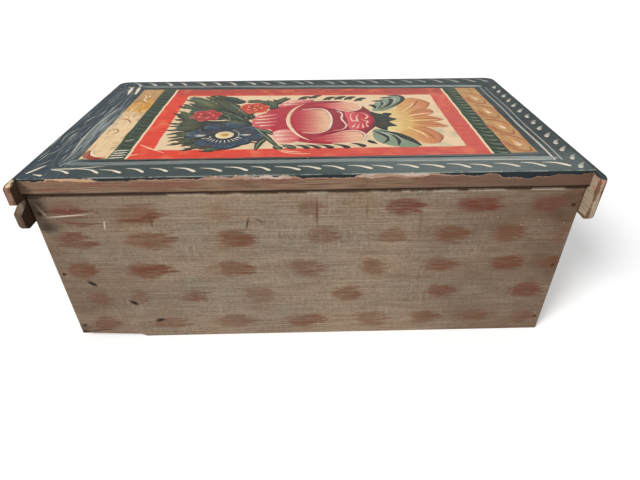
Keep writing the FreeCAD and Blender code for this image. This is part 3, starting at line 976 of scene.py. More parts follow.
@dataclass(frozen=True)
class TemperaStroke:
    """Tempera laid with a loaded brush: hair lines along each stroke, a faint egg-shell gloss."""

    hair_length_mm: float = 14.0
    hair_width_mm: float = 0.7
    shade: str = "#1f1a16"
    ridge: str = "#fbeedb"
    yellowed: str = "#94714a"
    wear: LidWear = LidWear()

    def build(self, name: str) -> bpy.types.Material:
        """The material that every stroke on the lid shares.

        Args:
            name: the material's name.

        Returns:
            The material.
        """
        surface = Surface(name)
        paint = surface.add("Attribute", attribute_name="pigment").outputs["Color"]
        brush = surface.add("UVMap", uv_map="brush").outputs["UV"]
        hairs = surface.cloud((self.hair_length_mm, self.hair_width_mm, 1.0), 0.4, 3, 0.6, brush)
        mottle = surface.cloud(9, 2.6, 3)
        colour = surface.coats(
            paint,
            Coat(self.shade, hairs, 0.5, 0.25, 0.35, soft=False),
            Coat(self.ridge, hairs, 0.55, 0.85, 0.16, soft=False),
            Coat(self.yellowed, mottle, 0.48, 0.75, 0.22, soft=False),
        )
        colour = self.wear.over(surface, colour, self.wear.chips(surface))
        gloss = surface.add("MapRange", (mottle, 0.3, 0.7, 0.42, 0.6))
        return surface.finish(colour, gloss, hairs, 0.06, specular=0.15)


@dataclass(frozen=True)
class RustedIron:
    """A wrought nail, rusted dark where hands and damp have reached it."""

    iron: str = "#2c2420"
    rust: str = "#5f3823"

    def build(self, name: str) -> bpy.types.Material:
        """The nails' material.

        Args:
            name: the material's name.

        Returns:
            The material.
        """
        surface = Surface(name)
        crust = surface.cloud(1.2, 1.9, 4, 0.7)
        rusty = surface.add("MapRange", (crust, 0.42, 0.62), **SMOOTH)
        rough = surface.add("MapRange", (rusty, 0.0, 1.0, 0.5, 0.9))
        colour = surface.coats(self.iron, Coat(self.rust, rusty))
        return surface.finish(colour, rough, crust, 0.12, metallic=0.35)


@dataclass(frozen=True)
class WhittledPeg:
    """A hardwood peg cut with a knife: close rings on its end, dark with grease from turning."""

    wood: AgedSpruce = AgedSpruce(early="#8f6d4b", late="#4d3826", ring_mm=0.9, wander_mm=1.0)

    def build(self, name: str, centre: Vector) -> bpy.types.Material:
        """The hinge pins' material.

        Args:
            name: the material's name.
            centre: a point on the pin's axis.

        Returns:
            The material.
        """
        surface = Surface(name)
        rings = self.wood.grain(surface, Axis.X, (centre.y / MM + 1.2, centre.z / MM - 1.0))
        return surface.finish(self.wood.colour(surface, rings, Axis.X), 0.55, rings, 0.08)


def spline(points: Path, closed: bool, steps: int) -> list[Point]:
    """A smooth line through the given points.

    Args:
        points: the points it passes through.
        closed: whether it comes back to the first one.
        steps: how many places it has between two points.

    Returns:
        The places along it.
    """
    count = len(points)
    line = []
    for span in range(count if closed else count - 1):
        near = (span + offset for offset in (-1, 0, 1, 2))
        picked = [points[i % count if closed else min(max(i, 0), count - 1)] for i in near]
        for step in range(steps):
            t = step / steps
            x, y = (
                0.5 * (2 * b + (c - a) * t + (2 * a - 5 * b + 4 * c - d) * t ** 2
                       + (3 * b - a - 3 * c + d) * t ** 3)
                for a, b, c, d in zip(*picked)
            )
            line.append((x, y))
    return line if closed else line + [tuple(points[-1])]


def spread(form: Form, t: float) -> float:
    """Share of its full width that a stroke has at t, from 0 at its start to 1 at its end.

    Args:
        form: how its width changes.
        t: the place along it.

    Returns:
        The share, from 0 to 1.
    """
    if form is Form.COMMA:
        head = 0.76
        if t < head:
            return max(0.14, (t / head) ** 0.9)
        return math.sqrt(max(0.0, 1 - ((t - head) / (1 - head)) ** 2))
    if form is Form.LEAF:
        return math.sin(math.pi * t ** 0.85) ** 0.8 if 0 < t < 1 else 0.0
    return min(1.0, 40 * t + 0.4, 40 * (1 - t) + 0.4)


def around(middle: Point, turn: float, *places: Point) -> list[Point]:
    """Places given as steps outwards and sideways from a middle, turned to one direction."""
    out = (math.cos(turn), math.sin(turn))
    return [(middle[0] + a * out[0] - b * out[1], middle[1] + a * out[1] + b * out[0]) for a, b in places]


@dataclass
class PaintFilm:
    """The raised paint of one motif on the lid, gathered stroke by stroke into one mesh."""

    name: str
    seed: int

    SUNK = -0.03
    STROKE = 0.14
    ACROSS = ((-1.0, 0.0), (-0.72, 0.8), (0.0, 1.0), (0.72, 0.8), (1.0, 0.0))
    RINGS = ((1.0, 0.0), (0.93, 0.85), (0.66, 1.0), (0.33, 1.0))

    def __post_init__(self) -> None:
        self.chance = random.Random(self.seed)
        self.points: list[Triple] = []
        self.faces: list[tuple[int, ...]] = []
        self.colours: list[Rgba] = []
        self.brush: list[Point] = []

    def vertex(self, x: float, y: float, z: float, colour: Rgba, brush: Point) -> int:
        """Keep one vertex, its colour and its place under the brush; lengths in mm.

        Args:
            x: along the lid.
            y: across the lid.
            z: above the lid.
            colour: its paint.
            brush: its place under the brush.

        Returns:
            The vertex's number.
        """
        self.points.append((x * MM, y * MM, (LID_TOP + z) * MM))
        self.colours.append(colour)
        self.brush.append((brush[0] * MM, brush[1] * MM))
        return len(self.points) - 1

    def stroke(
        self,
        path: Path,
        width: float,
        first: Pigment,
        last: Pigment | None = None,
        lift: float = 0.0,
        form: Form = Form.LEAF,
    ) -> None:
        """Pull the brush once along a path.

        Args:
            path: two points or more, in mm on the lid.
            width: the stroke's greatest width, in mm.
            first: its colour at the start.
            last: its colour at the end, if it changes.
            lift: thickness of the paint that it lies on, in mm.
            form: how its width changes.
        """
        top = lift + self.STROKE
        steps = 8 if len(path) < 4 else 5
        line = spline(path, closed=False, steps=max(steps, 14 // (len(path) - 1)))
        start, end = linear(first.value), linear((last or first).value)
        lot = self.chance.uniform(0, 400)
        gone = 0.0
        rows = []
        for index, (x, y) in enumerate(line):
            t = index / (len(line) - 1)
            before, after = line[max(index - 1, 0)], line[min(index + 1, len(line) - 1)]
            run = (after[0] - before[0], after[1] - before[1])
            length = math.hypot(*run) or 1.0
            normal = (-run[1] / length, run[0] / length)
            gone += math.dist(line[index - 1], line[index]) if index else 0.0
            half = max(0.5 * width * spread(form, t) * self.chance.uniform(0.92, 1.08), 0.08)
            colour = mixed(start, end, t)
            rows.append([
                self.vertex(x + normal[0] * v * half, y + normal[1] * v * half,
                            self.SUNK + high * (top - self.SUNK), colour,
                            (gone + lot, v * half + lot))
                for v, high in self.ACROSS
            ])
        for before, after in zip(rows, rows[1:]):
            for left in range(len(before) - 1):
                self.faces.append((before[left + 1], before[left], after[left], after[left + 1]))
            self.faces.append((before[0], before[-1], after[-1], after[0]))
        self.faces += [tuple(rows[0]), tuple(reversed(rows[-1]))]

    def strokes(self, paths: Sequence[Path], *load: Any, **form: Form) -> None:
        """Pull the brush along several paths with one load of paint, given as for stroke."""
        for path in paths:
            self.stroke(path, *load, **form)

    def patch(
        self,
        outline: Path,
        first: Pigment,
        last: Pigment | None = None,
        toward: Point = (1.0, 0.0),
        rim: Pigment | None = None,
        lift: float = 0.0,
        relief: float = 0.12,
    ) -> None:
        """Fill a closed outline, blending from one colour to the other.

        Args:
            outline: points round it, in mm on the lid.
            first: its colour on the side the blend starts from.
            last: its colour on the other side.
            toward: the way the blend runs.
            rim: a colour worked in round its edge.
            lift: thickness of the paint that it lies on, in mm.
            relief: its own thickness, in mm.
        """
        line = spline(outline, closed=True, steps=6)
        if sum(a[0] * b[1] - b[0] * a[1] for a, b in zip(line, line[1:] + line[:1])) < 0:
            line.reverse()
        count = len(line)
        centre = (sum(p[0] for p in line) / count, sum(p[1] for p in line) / count)
        size = math.hypot(*toward)
        way = (toward[0] / size, toward[1] / size)
        runs = [p[0] * way[0] + p[1] * way[1] for p in line]
        start, end = linear(first.value), linear((last or first).value)
        edge = linear(rim.value) if rim else None
        lot = self.chance.uniform(0, 400)

        def laid(x: float, y: float, share: float, high: float) -> int:
            """Keep one vertex at a share of the way from the middle to the edge."""
            run = x * way[0] + y * way[1]
            cross = y * way[0] - x * way[1]
            t = (run - min(runs)) / (max(runs) - min(runs))
            colour = mixed(start, end, t * t * (3 - 2 * t))
            if edge:
                colour = mixed(colour, edge, max(0.0, (share - 0.6) / 0.4))
            z = self.SUNK + high * (lift + relief - self.SUNK)
            return self.vertex(x, y, z, colour, (run + lot, cross + lot))

        rings = [
            [
                laid(centre[0] + (x - centre[0]) * share, centre[1] + (y - centre[1]) * share, share, high)
                for x, y in line
            ]
            for share, high in self.RINGS
        ]
        middle = laid(*centre, 0.0, 1.0)
        pairs = [(i, (i + 1) % count) for i in range(count)]
        for outer, inner in zip(rings, rings[1:]):
            self.faces += [(outer[i], outer[j], inner[j], inner[i]) for i, j in pairs]
        self.faces += [(rings[-1][i], rings[-1][j], middle) for i, j in pairs]
        self.faces.append(tuple(reversed(rings[0])))

    def disc(self, middle: Point, radius: float, corners: int, *tones: Any, lift: float) -> None:
        """Fill a circle, with the colours given as for patch."""
        turns = (math.tau * step / corners for step in range(corners))
        self.patch([around(middle, turn, (radius, 0))[0] for turn in turns], *tones, lift=lift)

    def build(self, material: bpy.types.Material) -> bpy.types.Object:
        """Make the mesh, give it its paint and let it ride on the lid.

        Args:
            material: the paint that the strokes share.

        Returns:
            The piece.
        """
        mesh = bpy.data.meshes.new(self.name)
        mesh.from_pydata(self.points, [], self.faces)
        pigment = mesh.color_attributes.new("pigment", "FLOAT_COLOR", "POINT")
        for item, colour in zip(pigment.data, self.colours):
            item.color = colour
        brush = mesh.uv_layers.new(name="brush")
        for loop, item in zip(mesh.loops, brush.data):
            item.uv = self.brush[loop.vertex_index]
        mesh.validate()
        mesh.shade_smooth()
        piece = bpy.data.objects.new(self.name, mesh)
        bpy.context.scene.collection.objects.link(piece)
        piece.data.materials.append(material)
        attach(piece, "lid")
        log.info("%s: %d faces", self.name, len(mesh.polygons))
        return piece


@dataclass
class LidPainting:
    """The painted lid: comma borders, pale lines, side bands, and a rose between leaves."""

    comma_width: float = 3.7
    tick_lift: float = 0.14

    def build(self) -> list[bpy.types.Object]:
        """Lay every motif on the lid, from the border inwards."""
        material = TemperaStroke().build("tempera_strokes")
        motifs = (self.border_lines, self.border_commas, self.green_band, self.scrolls, self.leaves,
                  self.tulip, self.sprays, self.rose, self.rose_highlights, self.red_flowers,
                  self.blue_flower)
        films = [PaintFilm("painted_" + motif.__name__, seed) for seed, motif in enumerate(motifs, 11)]
        for motif, film in zip(motifs, films):
            motif(film)
        return [film.build(material) for film in films]

    def border_lines(self, film: PaintFilm) -> None:
        """Slate lines just inside the dark border, doubled at the lid's ends.

        Args:
            film: what it is painted into.
        """
        slate, pale, smoke, bone = Pigment.SLATE, Pigment.PALE_SLATE, Pigment.SMOKE, Pigment.BONE
        for y, slope, width in ((83.4, 0.006, 5.8), (-89.2, 0.035, 6.4)):
            path = [(x, y - slope * x + 0.5 * math.sin(x / 17)) for x in range(-172, 167, 12)]
            film.stroke(path, width, pale, slate, form=Form.LINE)
        for x, width, last in ((-168.8, 1.9, bone), (-173.8, 1.5, smoke), (166.5, 1.2, Pigment.LIGHT_BLUE)):
            path = [(x + 0.4 * math.sin(y / 13), y) for y in range(-80, 90, 12)]
            film.stroke(path, width, slate, last, form=Form.LINE)
        for path, width, first, last, lift in (
            ([(164, -44), (168, -22), (170.5, -4), (171, 14), (171, 28), (169.5, 50), (167.5, 68), (169, 84)],
             2.2, slate, bone, 0.14),
            ([(166, -30), (169, -8), (169, 12)], 2.4, pale, smoke, 0.16),
            ([(171, 91), (153, 90), (136, 87)], 1.7, Pigment.CREAM, smoke, 0.14),
            ([(168, 86), (162, 79), (155, 74)], 1.5, smoke, pale, 0.14),
            ([(-60, 86), (-110, 86), (-168, 87.5)], 1.1, smoke, bone, 0.14),
            ([(150, 79), (60, 79.5), (-60, 80), (-168, 79.5)], 1.2, Pigment.INK, Pigment.INK, 0.14),
        ):
            film.stroke(path, width, first, last, lift)

    def border_commas(self, film: PaintFilm) -> None:
        """White commas all round the border.

        Args:
            film: what it is painted into.
        """
        slate, smoke, bone, cream = Pigment.SLATE, Pigment.SMOKE, Pigment.BONE, Pigment.CREAM
        chance = film.chance.uniform
        for index in range(21):
            x = 171 - 16.5 * index + chance(-1.5, 1.5)
            tail, head = 91.6 + chance(-0.7, 0.7), 97.2 + chance(-0.7, 0.7)
            reach = 15.5 + chance(-2, 2)
            path = [(x, tail), (x - 0.55 * reach, tail + 1.4), (x - reach, head)]
            film.stroke(path, chance(2.3, 3.1), bone, cream, form=Form.COMMA)
        for index in range(23):
            x = 178 - 15.9 * index + chance(-1.5, 1.5)
            reach = 12 + chance(-2, 2)
            path = [(x, -108), (x - 0.5 * reach, -105), (x - reach, -97 + chance(-1, 1))]
            film.stroke(path, self.comma_width, slate, bone if index < 8 else smoke, form=Form.COMMA)
        for index in range(14):
            y = -84 + 13.6 * index + chance(-1, 1)
            path = [(-187, y), (-183.5, y + 3), (-180.5 + chance(-1, 1), y + 9)]
            film.stroke(path, self.comma_width, slate, bone, form=Form.COMMA)
        film.strokes(([(178, -57), (180, -43)], [(176, -15), (181, -6), (184, 2)], [(182, 16), (186, 26)],
                      [(183, 18), (186, 33), (184, 47)], [(179, 54), (183, 69)], [(177, 75), (183, 85)],
                      [(187, -24), (188, -8)], [(189, 34), (189, 52)], [(186, 58), (188, 74)],
                      [(172, -52), (171, -30), (173, -12)]), 1.2, slate, smoke)
        film.strokes(([(180, -12), (183, 6)], [(181, 24), (182, 40)], [(184, 62), (186, 78)]), 0.8, smoke,
                     bone)
        film.strokes(([(174, -94), (171, -69)], [(167, -94), (164, -69)]), 3.6, cream, bone)
        film.stroke([(185, 97), (177, 84)], 2.6, cream, bone)
        film.stroke([(180, 98), (173, 100)], 2.4, bone, cream, form=Form.COMMA)

    def green_band(self, film: PaintFilm) -> None:
        """Slanting dark and pale strokes across the two green bands.

        Args:
            film: what it is painted into.
        """
        for side, width, tone in ((1, 1.2, Pigment.LEAF_MID), (-1, 2.4, Pigment.SAGE)):
            for index in range(19):
                x = side * 135.5 - 1.5 + film.chance.uniform(-0.7, 0.7)
                y = -73 + 7.9 * index + film.chance.uniform(-0.8, 0.8)
                dark = [(x - 5.6, y + 2.6), (x, y + 2.0), (x + 5.6, y - 2.6)]
                pale = [(x - 4.6, y + 5.8), (x, y + 5.2), (x + 4.6, y + 1.8)]
                film.stroke(dark, 3.6, Pigment.INK, Pigment.LEAF_DARK)
                film.stroke(pale, width, tone, Pigment.LEAF_MID)
        ticks = [[(139, y + 0.5), (128.5, y - 0.8)] for y in (62, 66, 70, 74)]
        film.strokes(ticks, 1.7, Pigment.CREAM, Pigment.BONE, self.tick_lift)
        film.stroke([(137.5, 45), (131, 41)], 2.0, Pigment.SAGE, Pigment.BONE, self.tick_lift)

    def scrolls(self, film: PaintFilm) -> None:
        """Shell-shaped scrolls down the two ochre bands.

        Args:
            film: what it is painted into.
        """
        umber, orange, ochre, gold = Pigment.UMBER, Pigment.ORANGE, Pigment.OCHRE, Pigment.GOLD
        peach, cream = Pigment.PEACH, Pigment.CREAM
        for y in (-58, -22, 13, 46):
            x, y = -152.5, y + 6.1
            under = [(x + 8, y - 3), (x + 8.5, y + 7), (x + 4, y + 17), (x - 5, y + 21), (x - 8, y + 12)]
            back = [(x + 7, y - 11), (x - 1, y - 8), (x - 7, y - 1), (x - 8.5, y + 8)]
            drop = [(x + 2, y - 5), (x - 0.5, y + 4), (x - 2.5, y + 11)]
            film.stroke(under, 3.6, orange, umber)
            film.stroke(back, 3.4, umber, orange)
            film.stroke([(x + 6, y + 3), (x + 5, y + 10), (x + 1, y + 15)], 1.6, umber)
            film.stroke(drop, 5.4, ochre, peach, 0.05, Form.COMMA)
            film.stroke([(x - 0.4, y + 3), (x - 2.2, y + 10.5)], 2.2, peach, cream, 0.16, Form.COMMA)
        for paths, width, first, last, lift in (
            (([(155, -44), (149, -46), (145, -38), (145, -28)], [(156, -30), (150, -28), (146, -20)]),
             6.4, gold, Pigment.AMBER, 0.0),
            (([(154, -68), (151, -62), (150, -52), (146, -47)], [(149, -66), (147, -58)],
              [(149, -42), (152, -33), (153, -23), (152, -11)],
              [(144, -20), (149, -14), (147, -5), (142, -4)], [(156, -14), (151, -6)]),
             2.8, gold, Pigment.WARM_WHITE, 0.14),
            (([(159, -46), (153, -50), (145, -42)], [(158, -4), (150, -2), (145, 6)],
              [(150, -62), (146, -56)]), 1.8, ochre, umber, 0.14),
            (([(151, 31), (149, 24), (153, 19), (157, 25), (155, 32)],), 1.2, umber, ochre, 0.0),
            (([(157, 61), (157, 68), (151, 73.5), (141, 74)],), 6.0, umber, Pigment.BRICK, 0.1),
            (([(154, 61), (153, 67), (148, 70.5), (142, 71)],), 3.2, cream, peach, 0.16),
        ):
            film.strokes(paths, width, first, last, lift)

    def leaf(self, film: PaintFilm, spine: Path, length: float, pairs: int, light: Pigment) -> None:
        """A feathered leaf: long pointed strokes that fan out from a spine towards its tip.

        Args:
            film: what it is painted into.
            spine: from the stem to the tip, in mm.
            length: of its longest side stroke.
            pairs: side strokes on each side.
            light: the colour of the hair lines worked over it.
        """
        tone, splay = Pigment.LEAF_DARK, 0.5
        line = spline(spine, closed=False, steps=12)
        film.stroke(spine, 0.5 * length, tone)
        for index in range(pairs):
            share = (index + 0.3) / pairs
            at = int(0.86 * share * (len(line) - 2))
            base, ahead = line[at], line[at + 1]
            heading = math.atan2(ahead[1] - base[1], ahead[0] - base[0])
            for side in (-1, 1):
                turn = heading + side * splay * film.chance.uniform(0.8, 1.2)
                reach = length * (1.0 - 0.35 * abs(share - 0.4)) * film.chance.uniform(0.85, 1.1)
                mid = around(base, turn + side * 0.22, (0.5 * reach, 0))[0]
                tip = around(base, turn - side * 0.22, (reach, 0))[0]
                film.stroke([base, mid, tip], 3.8, tone, lift=0.02)
        for offset in (-0.2, -0.06, 0.08, 0.22):
            hair = []
            for before, here in zip(line[2:-1:5], line[3::5]):
                heading = math.atan2(here[1] - before[1], here[0] - before[0])
                hair += around(here, heading, (0.12 * length, offset * length))
            film.stroke(hair, 1.1, light, lift=0.08)

    def leaves(self, film: PaintFilm) -> None:
        """Dark feathered leaves behind and round the flowers.

        Args:
            film: what it is painted into.
        """
        ink, dark, mid, light = Pigment.INK, Pigment.LEAF_DARK, Pigment.LEAF_MID, Pigment.LEAF_PALE
        sage = Pigment.SAGE
        film.patch([(96, -2), (84, 3), (70, 4), (56, 2), (46, 8), (46, 20), (60, 18), (78, 20), (94, 16)],
                   dark, ink)
        film.patch([(100, -30), (86, -38), (72, -30), (61, -16), (62, -2), (76, 3), (94, 0), (102, -14)],
                   dark, mid, relief=0.09)
        for hairs, spine, length, pairs in (
            (mid, [(58, -40), (72, -52), (90, -62)], 13, 6),
            (light, [(92, -28), (104, -31), (110, -35)], 10, 4),
            (light, [(90, -6), (103, -12), (109, -16)], 11, 4),
            (light, [(88, -42), (102, -49), (108, -53)], 10, 4),
            (light, [(46, 3), (62, -24), (80, -44), (96, -60)], 19, 8),
            (mid, [(50, 10), (60, -3), (70, -12), (76, -22)], 13, 4),
            (light, [(79, -28), (94, -46), (108, -60)], 11, 4),
            (light, [(47, 14), (58, 8), (68, 4)], 11, 3),
            (light, [(70, -22), (90, -35), (103, -43)], 15, 6),
            (light, [(78, -30), (94, -42), (102, -52)], 12, 4),
            (light, [(90, 6), (99, -4), (103, -9)], 14, 5),
            (light, [(84, 12), (96, 8), (104, 6)], 17, 5),
            (light, [(84, 20), (96, 19), (105, 19)], 15, 5),
            (light, [(84, 30), (94, 32), (101, 34)], 14, 4),
            (light, [(80, 42), (90, 44), (97, 46)], 15, 5),
            (light, [(70, 52), (80, 54), (86, 56)], 14, 5),
            (light, [(62, 60), (70, 61), (75, 62)], 9, 3),
            (light, [(31, -22), (31, -36), (34, -46)], 11, 4),
            (light, [(30, -36), (24, -46), (19, -53)], 9, 4),
            (light, [(32, -34), (44, -44), (54, -44)], 9, 4),
        ):
            self.leaf(film, spine, length, pairs, hairs)
        film.strokes(([(48, 0), (63, -31), (78, -48), (92, -59)], [(49, 3), (65, -17), (78, -24)],
                      [(56, 8), (62, -7), (73, -21)], [(61, -42), (78, -55), (92, -62)]), 2.2, ink, dark,
                     0.16)
        film.strokes(([(50, -4), (66, -34), (82, -52)], [(52, 4), (66, -12), (76, -20)],
                      [(64, 4), (67, -6), (74, -14)]), 1.1, sage, light, 0.18)
        for path in ([(43, 19), (34, 36), (20, 63)], [(32, 44), (36, 51), (38, 65)],
                     [(42, 22), (31, 30), (26, 37)], [(25, 57), (19, 64)], [(18, 56), (9, 63)]):
            film.stroke(path, 6.4, ink, dark)
            film.stroke(path, 2.2, sage, light, 0.1)
        for x, y in ((9, 62), (-1, 63), (-9, 63), (-18, 63), (-30, 63), (-42, 61)):
            film.stroke([(x + 11, y - 7), (x + 5, y - 5), (x, y)], 5.4, dark, ink, form=Form.COMMA)
            film.stroke([(x + 12, y - 4), (x + 6, y - 1)], 1.4, sage, Pigment.BONE)
        for x, y in ((-8, -56), (-21, -51), (-31, -52), (-40, -51), (-49, -47), (2, -53)):
            film.stroke([(x + 7, y + 5), (x, y - 2), (x - 5, y - 3)], 6.0, dark, ink)
            film.stroke([(x + 2, y + 5), (x - 1, y - 5)], 4.0, dark, light)

    def tulip(self, film: PaintFilm) -> None:
        """A yellow tulip that opens towards the left, with orange petal tips.

        Args:
            film: what it is painted into.
        """
        gold, orange, umber = Pigment.GOLD, Pigment.ORANGE, Pigment.UMBER
        away = (-1.0, 0.0)
        for outline, lift in (
            ([(-74, -6), (-80, -30), (-90, -48), (-101, -47), (-108, -33), (-103, -19), (-88, -9)], 0.0),
            ([(-71, 20), (-83, 20), (-95, 26), (-101, 42), (-98, 55), (-88, 57), (-79, 49), (-71, 35)], 0.0),
            ([(-73, 0), (-90, -20), (-102, -20), (-108, -12), (-100, -2), (-86, 3)], 0.05),
            ([(-72, 14), (-88, 9), (-104, 15), (-112, 23), (-98, 25), (-84, 22)], 0.05),
            ([(-72, 8), (-90, -1), (-103, 1), (-112, 8), (-103, 12), (-88, 14)], 0.05),
        ):
            film.patch(outline, gold, orange, away, lift=lift)
        film.patch([(-62, -10), (-74, -18), (-84, -14), (-88, 5), (-84, 25), (-72, 34), (-63, 27)],
                   Pigment.YELLOW, gold, away, lift=0.1)
        for paths, width, first, last in (
            (([(-84, -4), (-97, -12), (-107, -11)], [(-86, 6), (-100, 5), (-110, 7.5)],
              [(-85, 16), (-98, 18), (-109, 22)], [(-84, -14), (-94, -28), (-100, -42)],
              [(-82, 26), (-92, 36), (-96, 50)], [(-102, -22), (-108, -34), (-100, -46)],
              [(-97, 30), (-102, 43), (-97, 55)]), 2.6, Pigment.OCHRE, umber),
            (([(-86, 1), (-98, -1), (-108, 3)], [(-86, 12), (-99, 13), (-108, 17)],
              [(-87, -9), (-99, -17), (-107, -17)], [(-88, 23), (-97, 30), (-99, 40)]), 1.6, umber, orange),
            (([(-82, 0), (-96, -6), (-105, -8)], [(-82, 10), (-98, 9), (-107, 9)],
              [(-80, -10), (-91, -26), (-95, -38)], [(-79, 24), (-88, 36), (-91, 47)]), 2.2,
             Pigment.YELLOW, Pigment.PEACH),
        ):
            film.strokes(paths, width, first, last, 0.16)

    def sprays(self, film: PaintFilm) -> None:
        """Two curled sage leaves with dark ribs, and the dark calyx between them.

        Args:
            film: what it is painted into.
        """
        black, ink, sage, leaf = Pigment.BLUE_BLACK, Pigment.INK, Pigment.SAGE, Pigment.LEAF_DARK
        film.patch([(-56, -16), (-60, -36), (-69, -49), (-81, -57), (-89, -54), (-87, -39), (-77, -25),
                    (-66, -15)], sage)
        film.patch([(-51, 28), (-60, 28), (-67, 37), (-73, 48), (-82, 58), (-79, 63), (-69, 63), (-58, 58),
                    (-50, 48)], sage)
        film.strokes(([(-54, -30), (-58, -29), (-59, -21)], [(-58, -41), (-65, -41), (-67, -32), (-61, -21)],
                      [(-66, -50), (-75, -50), (-75, -38), (-68, -24), (-61, -19)],
                      [(-74, -56), (-85, -56), (-87, -46), (-81, -34), (-69, -21)],
                      [(-51, 31), (-58, 39), (-61, 47), (-55, 56)],
                      [(-56, 30), (-65, 38), (-68, 50), (-66, 60)],
                      [(-45, 49), (-47, 52), (-51, 56)]), 4.8, black, ink, 0.1)
        film.stroke([(-60, 32), (-69, 39), (-77, 49), (-83, 61)], 8.0, black, ink, 0.11)
        film.strokes(([(-70, -46), (-80, -47), (-74, -29), (-65, -20)], [(-62, -38), (-69, -36), (-63, -22)],
                      [(-57, 33), (-62, 42), (-61, 54)], [(-60, 33), (-68, 43), (-71, 56)]), 2.4,
                     Pigment.BONE, sage, 0.12)
        film.patch([(-53, -13), (-58, -10), (-62, -8), (-66, -11), (-72, -8), (-68, -1), (-74, 6), (-66, 13),
                    (-72, 22), (-64, 24), (-62, 30), (-57, 26), (-53, 19), (-55, 7)], leaf, black,
                   (-1.0, 0.0), lift=0.15)
        film.strokes(([(-56, -4), (-62, -3), (-70, -7)], [(-57, 8), (-64, 7), (-72, 6)],
                      [(-56, 18), (-62, 18), (-70, 21)]), 1.4, Pigment.LEAF_MID, leaf, 0.2)

    def rose(self, film: PaintFilm) -> None:
        """The big rose: crimson body, pale bowl, and petals to both sides.

        Args:
            film: what it is painted into.
        """
        crimson, pink, pale, peach = Pigment.CRIMSON, Pigment.ROSE_PINK, Pigment.PALE_PINK, Pigment.PEACH
        away = (-1.0, 0.0)
        for outline, first, last, toward, lift in (
            ([(35, -20), (23, -33), (8, -43), (-8, -44), (-22, -44), (-35, -41), (-46, -33), (-53, -18),
              (-58, 3), (-55, 20), (-47, 34), (-42, 46), (-31, 54), (-16, 56), (-2, 54), (10, 49), (21, 40),
              (30, 26), (37, 4)], crimson, Pigment.DEEP_CRIMSON, away, 0.0),
            ([(26, -33), (19, -43), (8, -48), (-6, -47), (2, -36), (12, -26), (21, -25)], pale, crimson,
             (-0.5, 1.0), 0.05),
            ([(46, 8), (43, -6), (34, -14), (25, -8), (23, 6), (25, 20), (32, 25), (42, 20)], pink, crimson,
             away, 0.05),
            ([(28, 36), (25, 27), (15, 25), (9, 34), (6, 46), (13, 52), (23, 50)], pale, pink, away, 0.05),
            ([(12, -14), (4, -21), (-6, -21), (-14, -19), (-18, -9), (-19, 7), (-18, 22), (-12, 31),
              (-4, 34), (4, 32), (10, 25), (13, 6)], crimson, peach, away, 0.1),
            ([(-31, -14), (-40, -14), (-51, -10), (-54, 6), (-46, 26), (-33, 28), (-32, 8)], pink, crimson,
             away, 0.05),
            ([(-4, -32), (-14, -36), (-24, -38), (-34, -39), (-43, -36), (-47, -27), (-43, -18), (-32, -16),
              (-22, -21), (-12, -26)], crimson, peach, away, 0.1),
            ([(-3, 45), (-14, 39), (-26, 32), (-37, 31), (-43, 38), (-41, 48), (-31, 53), (-17, 53),
              (-8, 50)], crimson, peach, away, 0.1),
        ):
            film.patch(outline, first, last, toward, lift=lift)

    def rose_highlights(self, film: PaintFilm) -> None:
        """Cream rims, the crescent, the curls and the fine light strokes on the rose.

        Args:
            film: what it is painted into.
        """
        cream, warm, pink, peach = Pigment.CREAM, Pigment.WARM_WHITE, Pigment.PALE_PINK, Pigment.PEACH
        for path, width, first, last, lift in (
            ([(3, -36), (11, -24), (15.5, -8), (16, 9), (13, 24), (7, 38), (-1, 48)], 4.2, peach, warm, 0.16),
            ([(5, -20), (-6, -22), (-14, -20), (-18.5, -9), (-19.5, 8), (-17, 24), (-11, 32), (-3, 34),
              (5, 32)], 2.2, cream, warm, 0.24),
            ([(-25, -16), (-29, -9), (-28, 4), (-31, 18), (-27, 27), (-20, 29)], 2.2, cream, pink, 0.16),
            ([(-20, -33), (-33, -39), (-43, -36), (-47, -26), (-42, -17), (-32, -15), (-24, -21)], 2.2, pink,
             cream, 0.24),
            ([(-16, 39), (-28, 31), (-38, 30), (-44, 38), (-41, 49), (-31, 54), (-18, 54)], 2.2, pink, cream,
             0.24),
        ):
            film.stroke(path, width, first, last, lift)
        film.strokes(([(-4, -27), (-14, -25), (-22, -19)], [(-10, 37), (-20, 33), (-30, 29)]), 2.2,
                     Pigment.DEEP_CRIMSON, lift=0.2)
        film.strokes(([(26, -9), (34, -6), (42, -3)], [(25, -1), (34, 2), (44, 3)],
                      [(25, 8), (34, 9), (43, 10)], [(26, 16), (33, 16), (39, 17)],
                      [(12, 30), (19, 29), (25, 31)], [(10, 37), (18, 37), (26, 37)],
                      [(9, 44), (16, 45), (24, 45)], [(2, -40), (10, -42), (17, -39)],
                      [(7, -33), (14, -35), (22, -33)]), 3.2, pink, warm, 0.16, Form.COMMA)
        veins = [[(11, y), (1, y + 1), (-10, y + 0.5)] for y in (-12 + 7.5 * index for index in range(6))]
        film.strokes(veins, 1.8, Pigment.CRIMSON, pink, 0.22)
        film.strokes(([(-41, -12), (-37, -9), (-35.5, 1), (-37, 9), (-41, 7)],
                      [(-43, -8), (-40.5, 0), (-41, 11)], [(-45, -12), (-48, -8), (-50, -1), (-47, 5)],
                      [(-44, 2), (-46, 8), (-49, 10), (-47, 15)], [(-39, 14), (-35.5, 23)],
                      [(-42, 14), (-39, 25)], [(-44, 14), (-44, 24)], [(-46.5, 15), (-48, 22)]), 2.2, pink,
                     warm, 0.12, Form.COMMA)
        far = [[(-14, y), (-27, y - 1), (-39, y)] for y in (-34, -29, -24)]
        near = [[(-12, y + 2), (-25, y), (-37, y - 1)] for y in (37, 42, 48)]
        film.strokes(far + near, 1.6, Pigment.ROSE_PINK, warm, 0.22)
